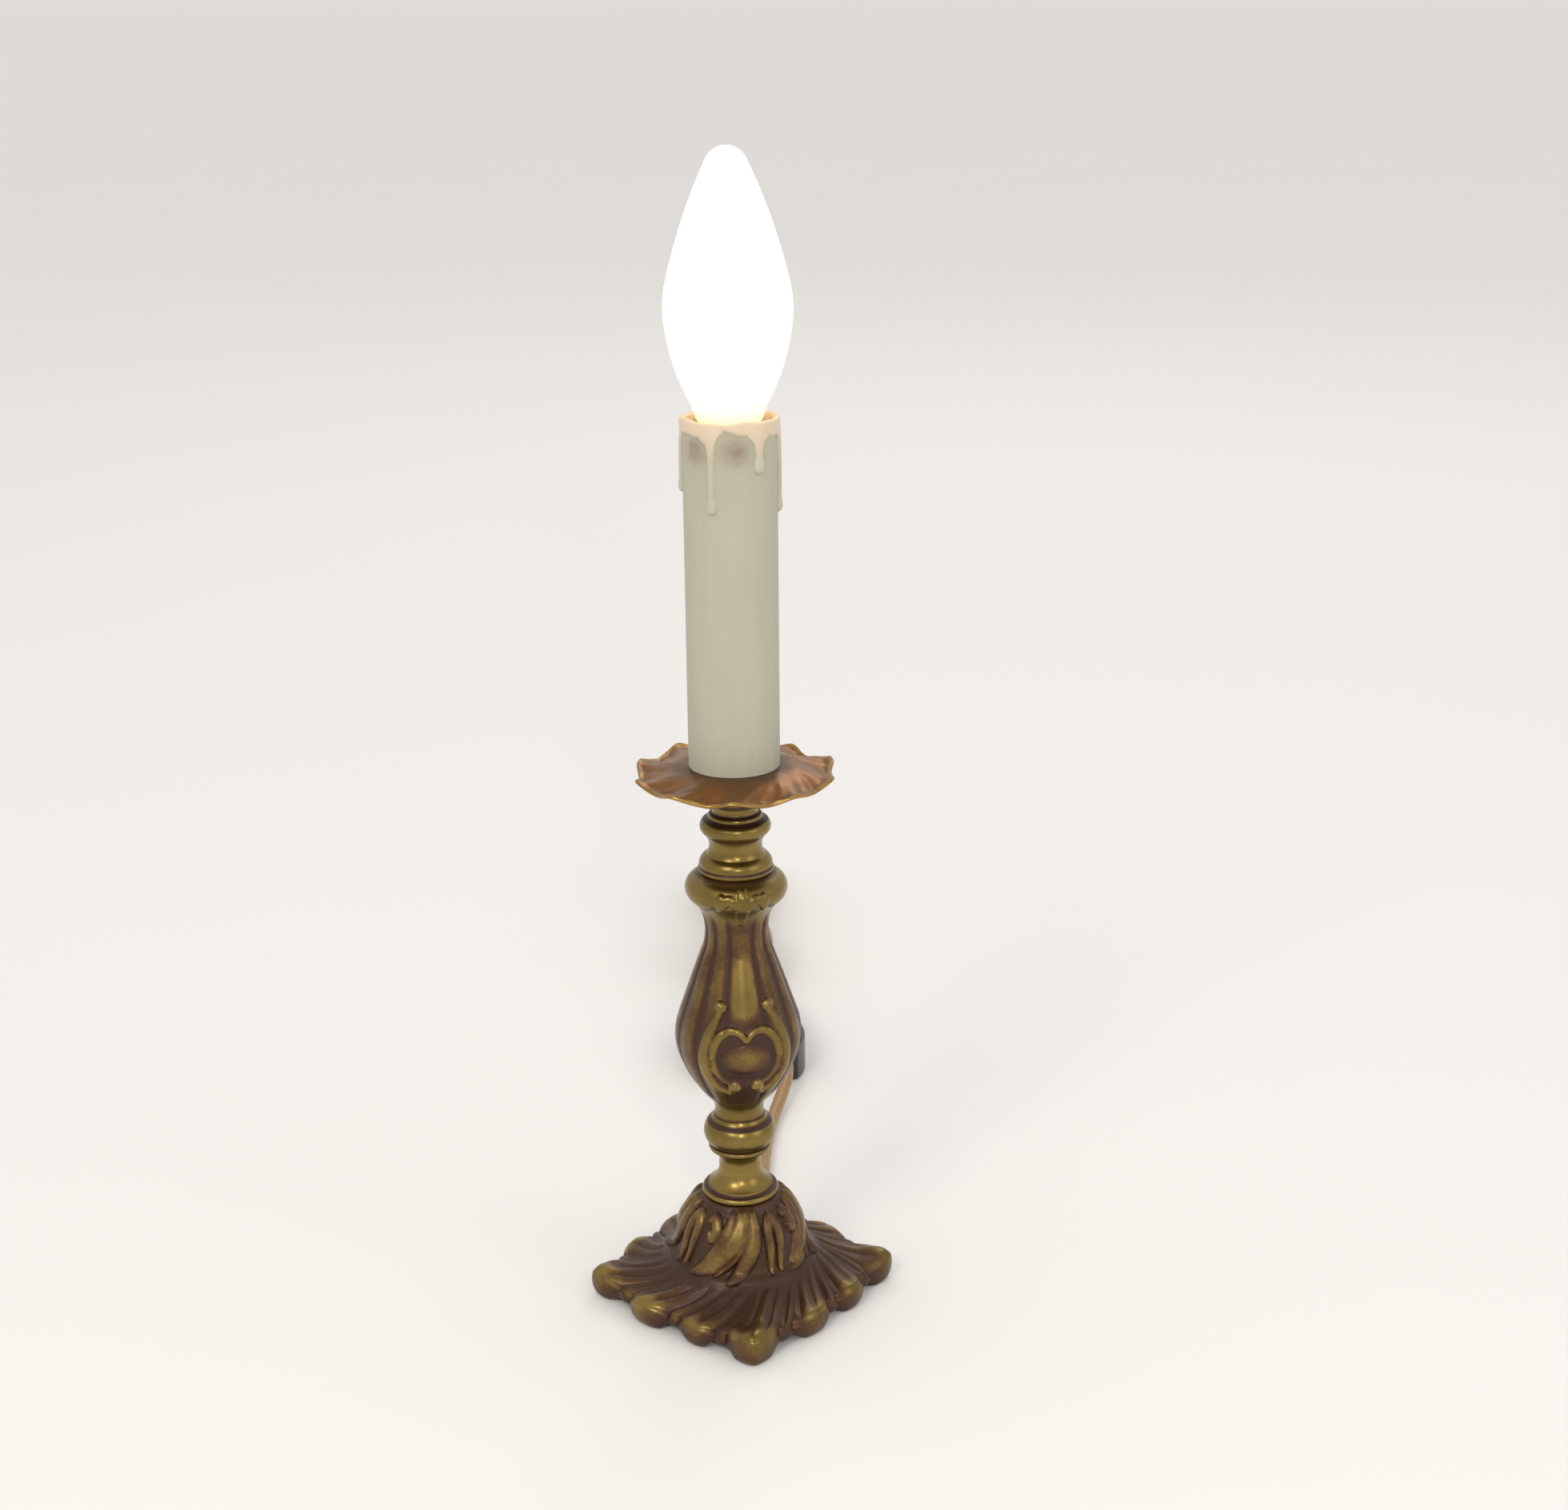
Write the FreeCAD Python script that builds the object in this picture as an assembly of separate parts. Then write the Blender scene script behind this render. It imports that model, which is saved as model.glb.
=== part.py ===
import FreeCAD, Part
import math
import os
from FreeCAD import Vector

os.makedirs("parts", exist_ok=True)

# Small cast candlestick table lamp: a rocaille foot, turned and cast stem, leaf drip pan,
# candle sleeve with wax drips, candle bulb, supply cord with in-line switch and plug.
# Millimetres. Z is up from the table, the foot's front corner points along -Y.

# Fits and tools
running_gap = 0.08
easy_gap = 0.3
rest_gap = 0.05
wire_gap = 0.1
overrun = 1.0

# Heights of the stack, from the table
foot_seat_z = 33.0
column_top_z = 59.0
vase_top_z = 136.8
spool_top_z = 157.2
cup_top_z = 167.0
pan_floor_z = 169.0

# Threaded tube that clamps the stack
tube_r = 5.0
tube_bore_r = 3.8
tube_hole_gap = 0.15
tube_low_z = 19.0
tube_top_z = 179.0

# Foot: four corner toes, two lobes between them and flutes to the border, hollow underneath
foot_corner_r = 42.2
foot_square_power = 1.25
foot_lobes = 12
foot_points = 48
toe_extra = 1.3
toe_spread_deg = 9.0
foot_base_r = 20.0
# share of the way from the dome to the border, row by row
foot_row_shares = [0.00, 0.14, 0.45, 0.76, 0.93, 1.00, 1.00, 0.97]
# height, radial wave and height wave of the same rows
foot_rows = [
    (11.4, 0.0, 0.0),
    (10.0, 0.0, 0.4),
    (8.5, 0.4, 0.9),
    (8.1, 0.9, 1.2),
    (7.6, 1.4, 1.0),
    (5.4, 1.8, 0.3),
    (2.6, 1.8, 0.0),
    (0.0, 1.6, 0.0),
]
foot_inner_r = 10.0
foot_inner_rise = 0.6
dome_profile = [(11.3, 33.0), (14.7, 30.7), (17.2, 27.0), (18.7, 23.2), (19.3, 18.6), (19.6, 13.6), (20.6, 8.0)]
dome_low_z = 5.0
hollow_border_share = 0.86
hollow_ceiling_share = 0.80
hollow_ceiling_z = 4.4
hollow_cone_r = 22.6
hollow_cone_top_r = 12.0
hollow_top_z = 27.0
notch_start_r = 19.0

# Washer and nut under the foot
washer_r = 11.0
washer_t = 1.5
nut_flats = 14.0
nut_t = 4.0

# Turned lower column: radius and height of each arc's middle and end
column_foot_r = 10.6
column_profile = [
    (11.5, 33.9, 10.8, 35.1),
    (9.9, 35.4, 9.6, 36.4),
    (7.1, 38.9, 6.35, 42.6),
    (6.6, 45.4, 8.4, 47.6),
    (9.4, 48.5, 8.8, 49.5),
    (10.75, 53.8, 9.3, 57.1),
    (8.4, 58.0, 7.8, 59.0),
]
edge_trace = 1e-6

# Cast vase: radius and height up the outside
vase_foot_r = 7.6
vase_profile = [
    (7.3, 61.6, 9.2, 65.4),
    (13.4, 70.6, 16.9, 77.6),
    (18.75, 85.6, 17.4, 93.0),
    (14.2, 102.4, 10.8, 112.0),
    (9.35, 118.6, 10.2, 124.0),
    (11.3, 126.4, 13.4, 128.6),
    (14.9, 132.4, 12.8, 135.6),
]
vase_top_r = 10.3
vase_wall = 2.2
vase_core_heights = [66.0, 72.0, 79.0, 86.0, 93.0, 102.0, 112.0, 119.0]

# Cartouche cast on the front and back of the vase belly, as heights and side reach
scroll_r = 0.95
scroll_knob_r = 1.55
scroll_eye_r = 1.75
scroll_sink = 0.15
# side reach and height along the C-scroll, from its top knob to its lower eye
scroll_route = [(7.1, 95.0), (8.9, 90.2), (10.6, 84.2), (10.3, 78.4), (7.6, 73.2), (3.4, 70.0)]
boss_reach = 6.6
boss_depth = 4.0
boss_h = 6.2
boss_z = 79.2
boss_proud = 1.0

# Turned spool over the vase
spool_profile = [
    (10.9, 137.4, 10.7, 138.6),
    (10.2, 140.8, 8.5, 142.2),
    (7.7, 144.4, 8.2, 147.2),
    (8.9, 148.2, 9.6, 148.9),
    (10.3, 150.6, 9.5, 152.5),
    (8.4, 152.9, 7.9, 153.4),
    (7.7, 154.3, 6.9, 154.8),
    (6.5, 155.8, 6.7, 157.2),
]
spool_foot_r = 10.4

# Turned cup under the drip pan
cup_foot_r = 6.7
cup_mid_r = 8.2
cup_mid_z = 162.4
cup_rim_r = 12.4
cup_edge_t = 0.8

# Drip pan: wavy leaf rim, flat hub with a boss that centres the sleeve
pan_lobes = 10
pan_points = 50
pan_hub_r = 5.6
pan_hub_dip = 0.3
pan_swirl_deg = 14.0
# radius, top height below the floor, radial wave, height wave
pan_rows = [
    (13.0, 0.0, 0.0, 0.0),
    (17.5, 0.5, 0.1, 0.2),
    (22.0, 1.7, 0.5, 0.6),
    (25.6, 2.7, 1.0, 1.1),
    (27.3, 2.6, 1.3, 1.3),
]
pan_edge = (27.6, 3.4, 1.3, 1.3)
pan_t = 1.5
pan_under_set = 0.3
pan_boss_r = 11.4
pan_boss_h = 1.2

# Candle sleeve with a wax collar and drips
sleeve_r = 13.0
sleeve_wall = 1.2
sleeve_h = 100.0
wax_t = 0.6
wax_collar_h = 6.0
wax_slope_h = 1.6
drip_sink = 0.55
drip_r = 1.35
drip_top_r = 1.1
drip_bead_r = 1.85
# place round the sleeve in degrees and length of the drip from the sleeve's top
drips = [(175.0, 21.1), (242.5, 25.3), (303.0, 14.5), (355.0, 26.9), (52.0, 18.6), (112.0, 28.6)]

# Lampholder inside the sleeve and the bracket that carries it, placed by drops from the sleeve's top
holder_r = 11.2
holder_top_drop = 7.1
holder_h = 34.8
holder_floor_h = 13.3
pocket_x = 6.2
pocket_w = 6.4
pocket_rise = 3.8
pocket_h = 7.4
terminal_rise = 4.4
terminal_t = 4.4
terminal_r = 1.6
terminal_head_t = 1.0
bracket_t = 1.2
bracket_ring_r = 8.5
bracket_bar_w = 8.4
bracket_strap_y = 7.3
holder_screw_y = 4.6
holder_screw_r = 1.25
holder_screw_head_r = 2.3
holder_screw_head_t = 1.5
holder_screw_l = 6.0
bush_lip_t = 1.6
bush_spigot_l = 4.0
bush_bore_r = 2.4

# Candle bulb with a small screw cap: heights above the tip's lower end
cap_r = 5.75
shell_t = 0.4
shell_low_rise = 1.6
shell_h = 17.4
tip_clear = 1.5
tip_r = 2.2
tip_h = 2.3
insulator_r = 4.3
insulator_rise = 5.0
cap_cone_rise = 6.6
cap_skirt_rise = 20.4
cap_rise = 24.2
cap_skirt_r = 8.3
cap_t = 0.3
glass_rows = [(9.3, 26.6, 10.4, 30.0), (14.6, 39.6, 17.1, 50.2), (17.5, 56.6, 16.5, 63.6)]
brow_mid_r = 11.5
brow_rise = 80.2
crown_r = 6.0
crown_rise = 92.0
crown_from_deg = 25.5
glass_neck_r = 8.0
glass_low_rise = 22.6
glass_t = 0.8
contact_r = 3.4
contact_t = 0.5
contact_post_r = 1.6

# Supply cord
cord_d = 4.4
cord_exit_deg = 78.75
cord_exit_z = 3.2
cord_bend_r = 10.8
cord_sheath_end_z = 185.0
core_r = 0.85
core_reach = 7.4
# heights of the cores' corners over the sheath's end
core_knee = 7.4
core_spread = 22.2
exit_bush_r = 2.95
exit_bush_reach = 34.6
exit_bush_l = 7.0
lay_deg = 86.0

# In-line switch, laid on the table behind the lamp
switch_near = (139.0, 17.6)
switch_far = (196.0, 8.8)
switch_w = 18.0
switch_nose_w = 8.0
switch_shoulder_l = 14.4
switch_bulge_l = 7.2
switch_bulge = 1.3
switch_h = 15.0
switch_wall = 1.8
switch_split_z = 7.5
switch_bore_l = 18.0
switch_round_r = 2.0
switch_bevel = 1.0
rocker_l = 15.0
rocker_w = 8.0
rocker_tilt_deg = 8.0
rocker_h = 5.6
rocker_rise = 1.6
rocker_pin_r = 1.0
rocker_pin_z = 12.6
rocker_pin_l = 1.2
rocker_dip = 1.1
cheek_half = 3.0
cheek_top_gap = 0.9

# Plug, laid beside the switch
plug_face_s = 155.0
plug_v = -7.8
plug_w = 22.0
plug_h = 14.0
plug_body_l = 26.0
plug_waist_l = 10.0
plug_tail_w = 11.0
plug_tail_h = 10.0
plug_corner_r = 3.0
plug_cord_end = 20.0
plug_relief_l = 20.0
plug_relief_r = 4.2
plug_relief_end_r = 3.0
blade_w = 6.3
blade_t = 1.5
blade_l = 17.0
blade_pitch = 12.7
blade_tip = 1.6
blade_root = 3.0

# Hank of the length that is put away, wound as a long loop in four layers
hank_s = 232.0
hank_v = 1.2
hank_half_w = 11.0
hank_run = 88.0
hank_waist_half = 2.75
hank_waist_l = 16.0
hank_pitch = 5.05
hank_layers = 4
hank_fold_slope = 0.2
hank_sample = 1.5
tie_w = 5.0
tie_t = 0.8

cord_r = cord_d / 2
hank_low_z = tie_t + 2 * wire_gap + cord_r
sleeve_low_z = pan_floor_z + wire_gap
sleeve_top_z = sleeve_low_z + sleeve_h
sleeve_bore_r = sleeve_r - sleeve_wall
boss_top_z = pan_floor_z + pan_boss_h
shell_r = cap_r + running_gap
holder_top_z = sleeve_top_z - holder_top_drop
holder_low_z = holder_top_z - holder_h
holder_floor_z = holder_low_z + holder_floor_h
pocket_low_z = holder_low_z + pocket_rise
bulb_tip_z = holder_floor_z + tip_clear
shell_low_z = bulb_tip_z + shell_low_rise
shell_top_z = shell_low_z + shell_h
insulator_top_z = bulb_tip_z + insulator_rise
cap_cone_z = bulb_tip_z + cap_cone_rise
cap_skirt_z = bulb_tip_z + cap_skirt_rise
cap_top_z = bulb_tip_z + cap_rise
glass_low_z = bulb_tip_z + glass_low_rise
crown_z = bulb_tip_z + crown_rise
axis = Vector(0, 0, 1)
origin = Vector(0, 0, 0)


def save(name, shape):
    shape = shape.removeSplitter() if len(shape.Faces) < 60 else shape
    shape.exportStep("parts/" + name + ".step")
    print(name, "valid", shape.isValid(), "solids", len(shape.Solids), "volume", round(shape.Volume, 1))


def on_axis(r, z):
    return Vector(r, 0, z)


def rod(r, low_z, high_z, x=0.0, y=0.0):
    return Part.makeCylinder(r, high_z - low_z, Vector(x, y, low_z))


def block(low, high):
    return Part.makeBox(high[0] - low[0], high[1] - low[1], high[2] - low[2], Vector(*low))


def turned(edges):
    """Solid of revolution about Z from the edges of a closed half profile."""
    return Part.Face(Part.Wire(edges)).revolve(origin, axis, 360)


def arc_chain(start, arcs):
    """Three-point arcs one after another: each entry gives the middle and the end as r, z, r, z."""
    edges = []
    here = on_axis(*start)
    for mid_r, mid_z, end_r, end_z in arcs:
        end = on_axis(end_r, end_z)
        edges.append(Part.Arc(here, on_axis(mid_r, mid_z), end).toShape())
        here = end
    return edges, here


def turned_column(start, arcs, top, bore_r):
    """Turned piece with a bore: arcs up the outside, flat ends."""
    edges, last = arc_chain(start, arcs)
    low_z = start[1]
    top_z = top[1]
    outer_top = on_axis(*top)
    if (outer_top - last).Length > edge_trace:
        edges.append(Part.makeLine(last, outer_top))
    edges.append(Part.makeLine(outer_top, on_axis(bore_r, top_z)))
    edges.append(Part.makeLine(on_axis(bore_r, top_z), on_axis(bore_r, low_z)))
    edges.append(Part.makeLine(on_axis(bore_r, low_z), on_axis(*start)))
    return turned(edges)


def smooth_ring(points):
    """Closed smooth curve through points that a formula places round the axis."""
    curve = Part.BSplineCurve()
    curve.interpolate(Points=points, PeriodicFlag=True)
    return Part.Wire([curve.toShape()])


def hex_nut(flats, low_z, high_z):
    """Six-sided nut with a flat towards Y and a clearance hole for the tube."""
    corner_r = flats / math.sqrt(3)
    corners = [Vector(corner_r * math.cos(math.radians(60 * i)), corner_r * math.sin(math.radians(60 * i)), low_z)
               for i in range(7)]
    body = Part.Face(Part.makePolygon(corners)).extrude(axis * (high_z - low_z))
    return body.cut(rod(tube_r + rest_gap, low_z - overrun, high_z + overrun))


def lay(s, v, z):
    """Point on the table behind the lamp: s away from it, v to the right of the line, z up."""
    c = math.cos(math.radians(lay_deg))
    n = math.sin(math.radians(lay_deg))
    return Vector(s * c + v * n, s * n - v * c, z)


def rounded_path(points):
    """Wire of straight runs joined by tangent arcs, each as large as its two runs allow."""
    edges = []
    here = points[0]
    radii = []
    for before, corner, after in zip(points, points[1:], points[2:]):
        back = before - corner
        on = after - corner
        turn = math.pi - back.getAngle(on)
        tangent = 0.45 * min(back.Length, on.Length)
        radii.append(round(tangent / math.tan(turn / 2), 1))
        enter = corner + back.normalize() * tangent
        leave = corner + on.normalize() * tangent
        bisector = (back + on).normalize()
        reach = tangent / math.cos(back.getAngle(on) / 2)
        radius = tangent * math.tan(back.getAngle(on) / 2)
        middle = corner + bisector * (reach - radius)
        edges.append(Part.LineSegment(here, enter).toShape())
        edges.append(Part.Arc(enter, middle, leave).toShape())
        here = leave
    edges.append(Part.LineSegment(here, points[-1]).toShape())
    return Part.Wire(edges), radii


def tube_along(wire, r):
    """Round tube swept along a wire, from its first point."""
    first = wire.OrderedEdges[0]
    start = first.valueAt(first.FirstParameter)
    way = first.tangentAt(first.FirstParameter)
    section = Part.Wire([Part.makeCircle(r, start, way)])
    return wire.makePipeShell([section], True, False)


def arc_from(p0, t0, p1):
    """Arc that leaves p0 along t0 and ends at p1, or the line between them where they are in line."""
    chord = p1 - p0
    along = Vector(chord).normalize()
    side = t0 - along * t0.dot(along)
    if side.Length < 1e-7:
        return Part.LineSegment(p0, p1).toShape()
    angle = t0.getAngle(chord)
    middle = (p0 + p1) * 0.5 + side.normalize() * (chord.Length / 2 * math.tan(angle / 2))
    return Part.Arc(p0, middle, p1).toShape()


def biarc(p0, t0, p1, t1):
    """Two arcs, tangent to each other, from p0 along t0 to p1 along t1."""
    v = p1 - p0
    c = t0.dot(t1) - 1
    b = v.dot(t0 + t1)
    if abs(c) < 1e-9:
        d = v.dot(v) / (4 * v.dot(t1)) if abs(v.dot(t1)) > 1e-9 else v.Length / 2
    else:
        d = (b - math.sqrt(b * b - 2 * c * v.dot(v))) / (2 * c)
    joint = (p0 + p1 + (t0 - t1) * d) * 0.5
    second = arc_from(p1, t1 * -1, joint)
    second.reverse()
    return [arc_from(p0, t0, joint), second]


# Foot
def border_r(angle):
    c = abs(math.cos(angle)) ** foot_square_power
    n = abs(math.sin(angle)) ** foot_square_power
    quarter = math.pi / 2
    off = abs((angle + quarter / 2) % quarter - quarter / 2)
    toe = toe_extra * math.exp(-(off / math.radians(toe_spread_deg)) ** 2)
    return foot_corner_r / (c + n) ** (1 / foot_square_power) + toe


def foot_ring(share, z, wave_r, wave_z):
    points = []
    for i in range(foot_points):
        angle = 2 * math.pi * i / foot_points
        wave = math.cos(foot_lobes * angle)
        r = foot_base_r + share * (border_r(angle) - foot_base_r) + wave_r * wave
        points.append(Vector(r * math.cos(angle), r * math.sin(angle), z + wave_z * wave))
    return smooth_ring(points)


def border_prism(share_low, z_low, share_high, z_high):
    rings = []
    for share, z in ((share_low, z_low), (share_high, z_high)):
        points = []
        for i in range(foot_points // 2):
            angle = 4 * math.pi * i / foot_points
            r = share * border_r(angle)
            points.append(Vector(r * math.cos(angle), r * math.sin(angle), z))
        rings.append(smooth_ring(points))
    return Part.makeLoft(rings, True, True)


foot_rings = [Part.Wire([Part.makeCircle(foot_inner_r, Vector(0, 0, foot_rows[0][0] + foot_inner_rise))])]
foot_rings += [foot_ring(share, *row) for share, row in zip(foot_row_shares, foot_rows)]
plate = Part.makeLoft(foot_rings, True, True)
dome_curve = Part.BSplineCurve()
dome_curve.interpolate([on_axis(r, z) for r, z in dome_profile])
dome_end = dome_profile[-1]
dome = turned([
    dome_curve.toShape(),
    Part.makeLine(on_axis(*dome_end), on_axis(dome_end[0], dome_low_z)),
    Part.makeLine(on_axis(dome_end[0], dome_low_z), on_axis(0, dome_low_z)),
    Part.makeLine(on_axis(0, dome_low_z), on_axis(0, foot_seat_z)),
    Part.makeLine(on_axis(0, foot_seat_z), on_axis(*dome_profile[0])),
])
cone_h = hollow_top_z - hollow_ceiling_z + overrun
hollow_cone = Part.makeCone(hollow_cone_r, hollow_cone_top_r, cone_h, Vector(0, 0, hollow_ceiling_z - overrun))
hollow = border_prism(hollow_border_share, -overrun, hollow_ceiling_share, hollow_ceiling_z).fuse(hollow_cone)
exit_way = Vector(math.cos(math.radians(cord_exit_deg)), math.sin(math.radians(cord_exit_deg)), 0)
exit_line = Vector(0, 0, cord_exit_z)
notch_start = exit_line + exit_way * notch_start_r
notch_hole_r = exit_bush_r + rest_gap
notch = Part.makeCylinder(notch_hole_r, foot_corner_r, notch_start, exit_way)
notch_floor = Part.makeBox(foot_corner_r, 2 * notch_hole_r, cord_exit_z + overrun, Vector(0, -notch_hole_r, -overrun))
notch_floor.rotate(origin, axis, cord_exit_deg)
notch_floor.translate(exit_way * notch_start_r)
foot = plate.fuse(dome).cut(hollow)
foot = foot.cut(rod(tube_r + tube_hole_gap, hollow_top_z - overrun, foot_seat_z + overrun))
foot = foot.cut(notch).cut(notch_floor)
save("base_foot", foot)

# Washer and nut that clamp the stack from below
washer = rod(washer_r, hollow_top_z - washer_t, hollow_top_z)
washer = washer.cut(rod(tube_r + tube_hole_gap, hollow_top_z - washer_t - overrun, hollow_top_z + overrun))
save("base_washer", washer)
nut_top_z = hollow_top_z - washer_t
save("base_nut", hex_nut(nut_flats, nut_top_z - nut_t, nut_top_z))

# Threaded tube, plain at its mean size
tube = rod(tube_r, tube_low_z, tube_top_z).cut(rod(tube_bore_r, tube_low_z - overrun, tube_top_z + overrun))
save("threaded_tube", tube)

# Turned lower column
hole_r = tube_r + tube_hole_gap
column = turned_column((column_foot_r, foot_seat_z), column_profile, (column_profile[-1][2], column_top_z), hole_r)
save("lower_column", column)


# Vase with a cored inside and a cartouche front and back
def surface_r(z):
    """Radius of the vase at a height, read from its own outline."""
    plane = Part.makeBox(2 * foot_corner_r, overrun, overrun * 1e-3, Vector(0, -overrun / 2, z))
    cut = outline_wire.common(plane)
    return max(v.X for v in cut.Vertexes)


def on_vase(side, z, proud):
    """Point on the vase's front, side mm to the right, at a height, standing proud by an amount."""
    r = surface_r(z) + proud
    return Vector(side, -math.sqrt(r * r - side * side), z)


def ridge(route, r, proud):
    """Round ridge that follows the vase along a smooth curve through a few points."""
    curve = Part.BSplineCurve()
    curve.interpolate([on_vase(side, z, proud) for side, z in route])
    return tube_along(Part.Wire([curve.toShape()]), r)


vase_edges, vase_last = arc_chain((vase_foot_r, column_top_z), vase_profile)
outline_wire = Part.Wire(vase_edges)
vase_edges.append(Part.makeLine(vase_last, on_axis(vase_top_r, vase_top_z)))
vase_edges.append(Part.makeLine(on_axis(vase_top_r, vase_top_z), on_axis(hole_r, vase_top_z)))
vase_edges.append(Part.makeLine(on_axis(hole_r, vase_top_z), on_axis(hole_r, column_top_z)))
vase_edges.append(Part.makeLine(on_axis(hole_r, column_top_z), on_axis(vase_foot_r, column_top_z)))
vase = turned(vase_edges)

core_low_z = vase_core_heights[0]
core_top_z = vase_core_heights[-1]
core_curve = Part.BSplineCurve()
core_points = [on_axis(hole_r - rest_gap, core_low_z)]
core_points += [on_axis(max(surface_r(z) - vase_wall, hole_r), z) for z in vase_core_heights[1:]]
core_curve.interpolate(core_points)
core = turned([
    core_curve.toShape(),
    Part.makeLine(core_points[-1], on_axis(0, core_top_z)),
    Part.makeLine(on_axis(0, core_top_z), on_axis(0, core_low_z)),
    Part.makeLine(on_axis(0, core_low_z), core_points[0]),
])
vase = vase.cut(core)

carving = []
for mirror in (1, -1):
    sides = [(mirror * side, z) for side, z in scroll_route]
    carving.append(ridge(sides, scroll_r, scroll_sink))
    carving.append(Part.makeSphere(scroll_knob_r, on_vase(sides[0][0], sides[0][1], scroll_sink)))
    carving.append(Part.makeSphere(scroll_eye_r, on_vase(sides[-1][0], sides[-1][1], scroll_sink)))
boss = Part.makeSphere(boss_reach)
squeeze = FreeCAD.Matrix()
squeeze.A22 = boss_depth / boss_reach
squeeze.A33 = boss_h / 2 / boss_reach
boss = boss.transformGeometry(squeeze)
boss.translate(on_vase(0.0, boss_z, boss_proud - boss_depth))
carving.append(boss)
for piece in list(carving):
    twin = piece.copy()
    twin.rotate(origin, axis, 180)
    carving.append(twin)
for piece in carving:
    vase = vase.fuse(piece)
vase = vase.cut(core)
save("vase_body", vase)

# Turned spool
spool = turned_column((spool_foot_r, vase_top_z), spool_profile, (spool_profile[-1][2], spool_top_z), hole_r)
save("upper_spool", spool)

# Cup between the spool and the drip pan
cup = turned([
    Part.Arc(on_axis(cup_foot_r, spool_top_z), on_axis(cup_mid_r, cup_mid_z),
             on_axis(cup_rim_r, cup_top_z - cup_edge_t)).toShape(),
    Part.makeLine(on_axis(cup_rim_r, cup_top_z - cup_edge_t), on_axis(cup_rim_r, cup_top_z)),
    Part.makeLine(on_axis(cup_rim_r, cup_top_z), on_axis(hole_r, cup_top_z)),
    Part.makeLine(on_axis(hole_r, cup_top_z), on_axis(hole_r, spool_top_z)),
    Part.makeLine(on_axis(hole_r, spool_top_z), on_axis(cup_foot_r, spool_top_z)),
])
save("pan_cup", cup)


# Drip pan
def pan_ring(r, drop, wave_r, wave_z):
    points = []
    reach = (r - pan_boss_r) / (pan_rows[-1][0] - pan_boss_r)
    swirl = math.radians(pan_swirl_deg) * reach
    for i in range(pan_points):
        angle = 2 * math.pi * i / pan_points
        wave = math.cos(pan_lobes * (angle - swirl))
        out = r + wave_r * wave
        points.append(Vector(out * math.cos(angle), out * math.sin(angle), pan_floor_z - drop + wave_z * wave))
    return smooth_ring(points)


def pan_hub_ring(z):
    return Part.Wire([Part.makeCircle(pan_hub_r, Vector(0, 0, z))])


pan_rings = [pan_hub_ring(pan_floor_z - pan_hub_dip)]
pan_rings += [pan_ring(*row) for row in pan_rows]
pan_rings.append(pan_ring(*pan_edge))
pan_rings += [pan_ring(r - pan_under_set, drop + pan_t, wr, wz) for r, drop, wr, wz in reversed(pan_rows)]
pan = Part.makeLoft(pan_rings + [pan_hub_ring(pan_floor_z - pan_t + pan_hub_dip)], True, True)
hub_low_z = cup_top_z
pan = pan.fuse(rod(cup_rim_r, hub_low_z, pan_floor_z)).fuse(rod(pan_boss_r, pan_floor_z - pan_t, boss_top_z))
pan = pan.cut(rod(hole_r, hub_low_z - overrun, boss_top_z + overrun))
save("drip_pan", pan)

# Candle sleeve: straight tube, wax collar and drips outside, clean bore
sleeve = rod(sleeve_r, sleeve_low_z, sleeve_top_z)
collar_low_z = sleeve_top_z - wax_collar_h
collar = rod(sleeve_r + wax_t, collar_low_z, sleeve_top_z)
collar_slope = Part.makeCone(sleeve_r, sleeve_r + wax_t, wax_slope_h, Vector(0, 0, collar_low_z - wax_slope_h))
sleeve = sleeve.fuse([collar, collar_slope])
for place_deg, drip_l in drips:
    at = math.radians(place_deg)
    reach = sleeve_r - drip_sink
    bead_z = sleeve_top_z - drip_l + drip_bead_r
    bead_centre = Vector(reach * math.cos(at), reach * math.sin(at), bead_z)
    stem_h = sleeve_top_z - wax_slope_h - bead_z
    stem = Part.makeCone(drip_r, drip_top_r, stem_h, bead_centre)
    sleeve = sleeve.fuse([stem, Part.makeSphere(drip_bead_r, bead_centre)])
sleeve = sleeve.cut(rod(sleeve_bore_r, sleeve_low_z - overrun, sleeve_top_z + overrun))
save("candle_sleeve", sleeve)

# Bracket: ring on the pan's boss, strap up the back, bar under the lampholder
ring_top_z = boss_top_z + bracket_t
ring = rod(bracket_ring_r, boss_top_z, ring_top_z)
strap_low = (-bracket_bar_w / 2, bracket_strap_y, boss_top_z)
strap = block(strap_low, (bracket_bar_w / 2, bracket_strap_y + bracket_t, holder_low_z))
bar_low_z = holder_low_z - bracket_t
bar = block((-bracket_bar_w / 2, -bracket_strap_y, bar_low_z),
            (bracket_bar_w / 2, bracket_strap_y + bracket_t, holder_low_z))
bracket = ring.fuse([strap, bar]).cut(rod(hole_r, boss_top_z - overrun, ring_top_z + overrun))
for screw_y in (holder_screw_y, -holder_screw_y):
    hole = rod(holder_screw_r + rest_gap, bar_low_z - overrun, holder_low_z + overrun, 0.0, screw_y)
    bracket = bracket.cut(hole)
save("holder_bracket", bracket)
save("pan_nut", hex_nut(nut_flats, ring_top_z, ring_top_z + nut_t))

# Insulating bush in the tube's upper end
bush = rod(tube_r, tube_top_z, tube_top_z + bush_lip_t)
bush = bush.fuse(rod(tube_bore_r - rest_gap, tube_top_z - bush_spigot_l, tube_top_z))
bush = bush.cut(rod(bush_bore_r, tube_top_z - bush_spigot_l - overrun, tube_top_z + bush_lip_t + overrun))
save("tube_bush", bush)

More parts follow.
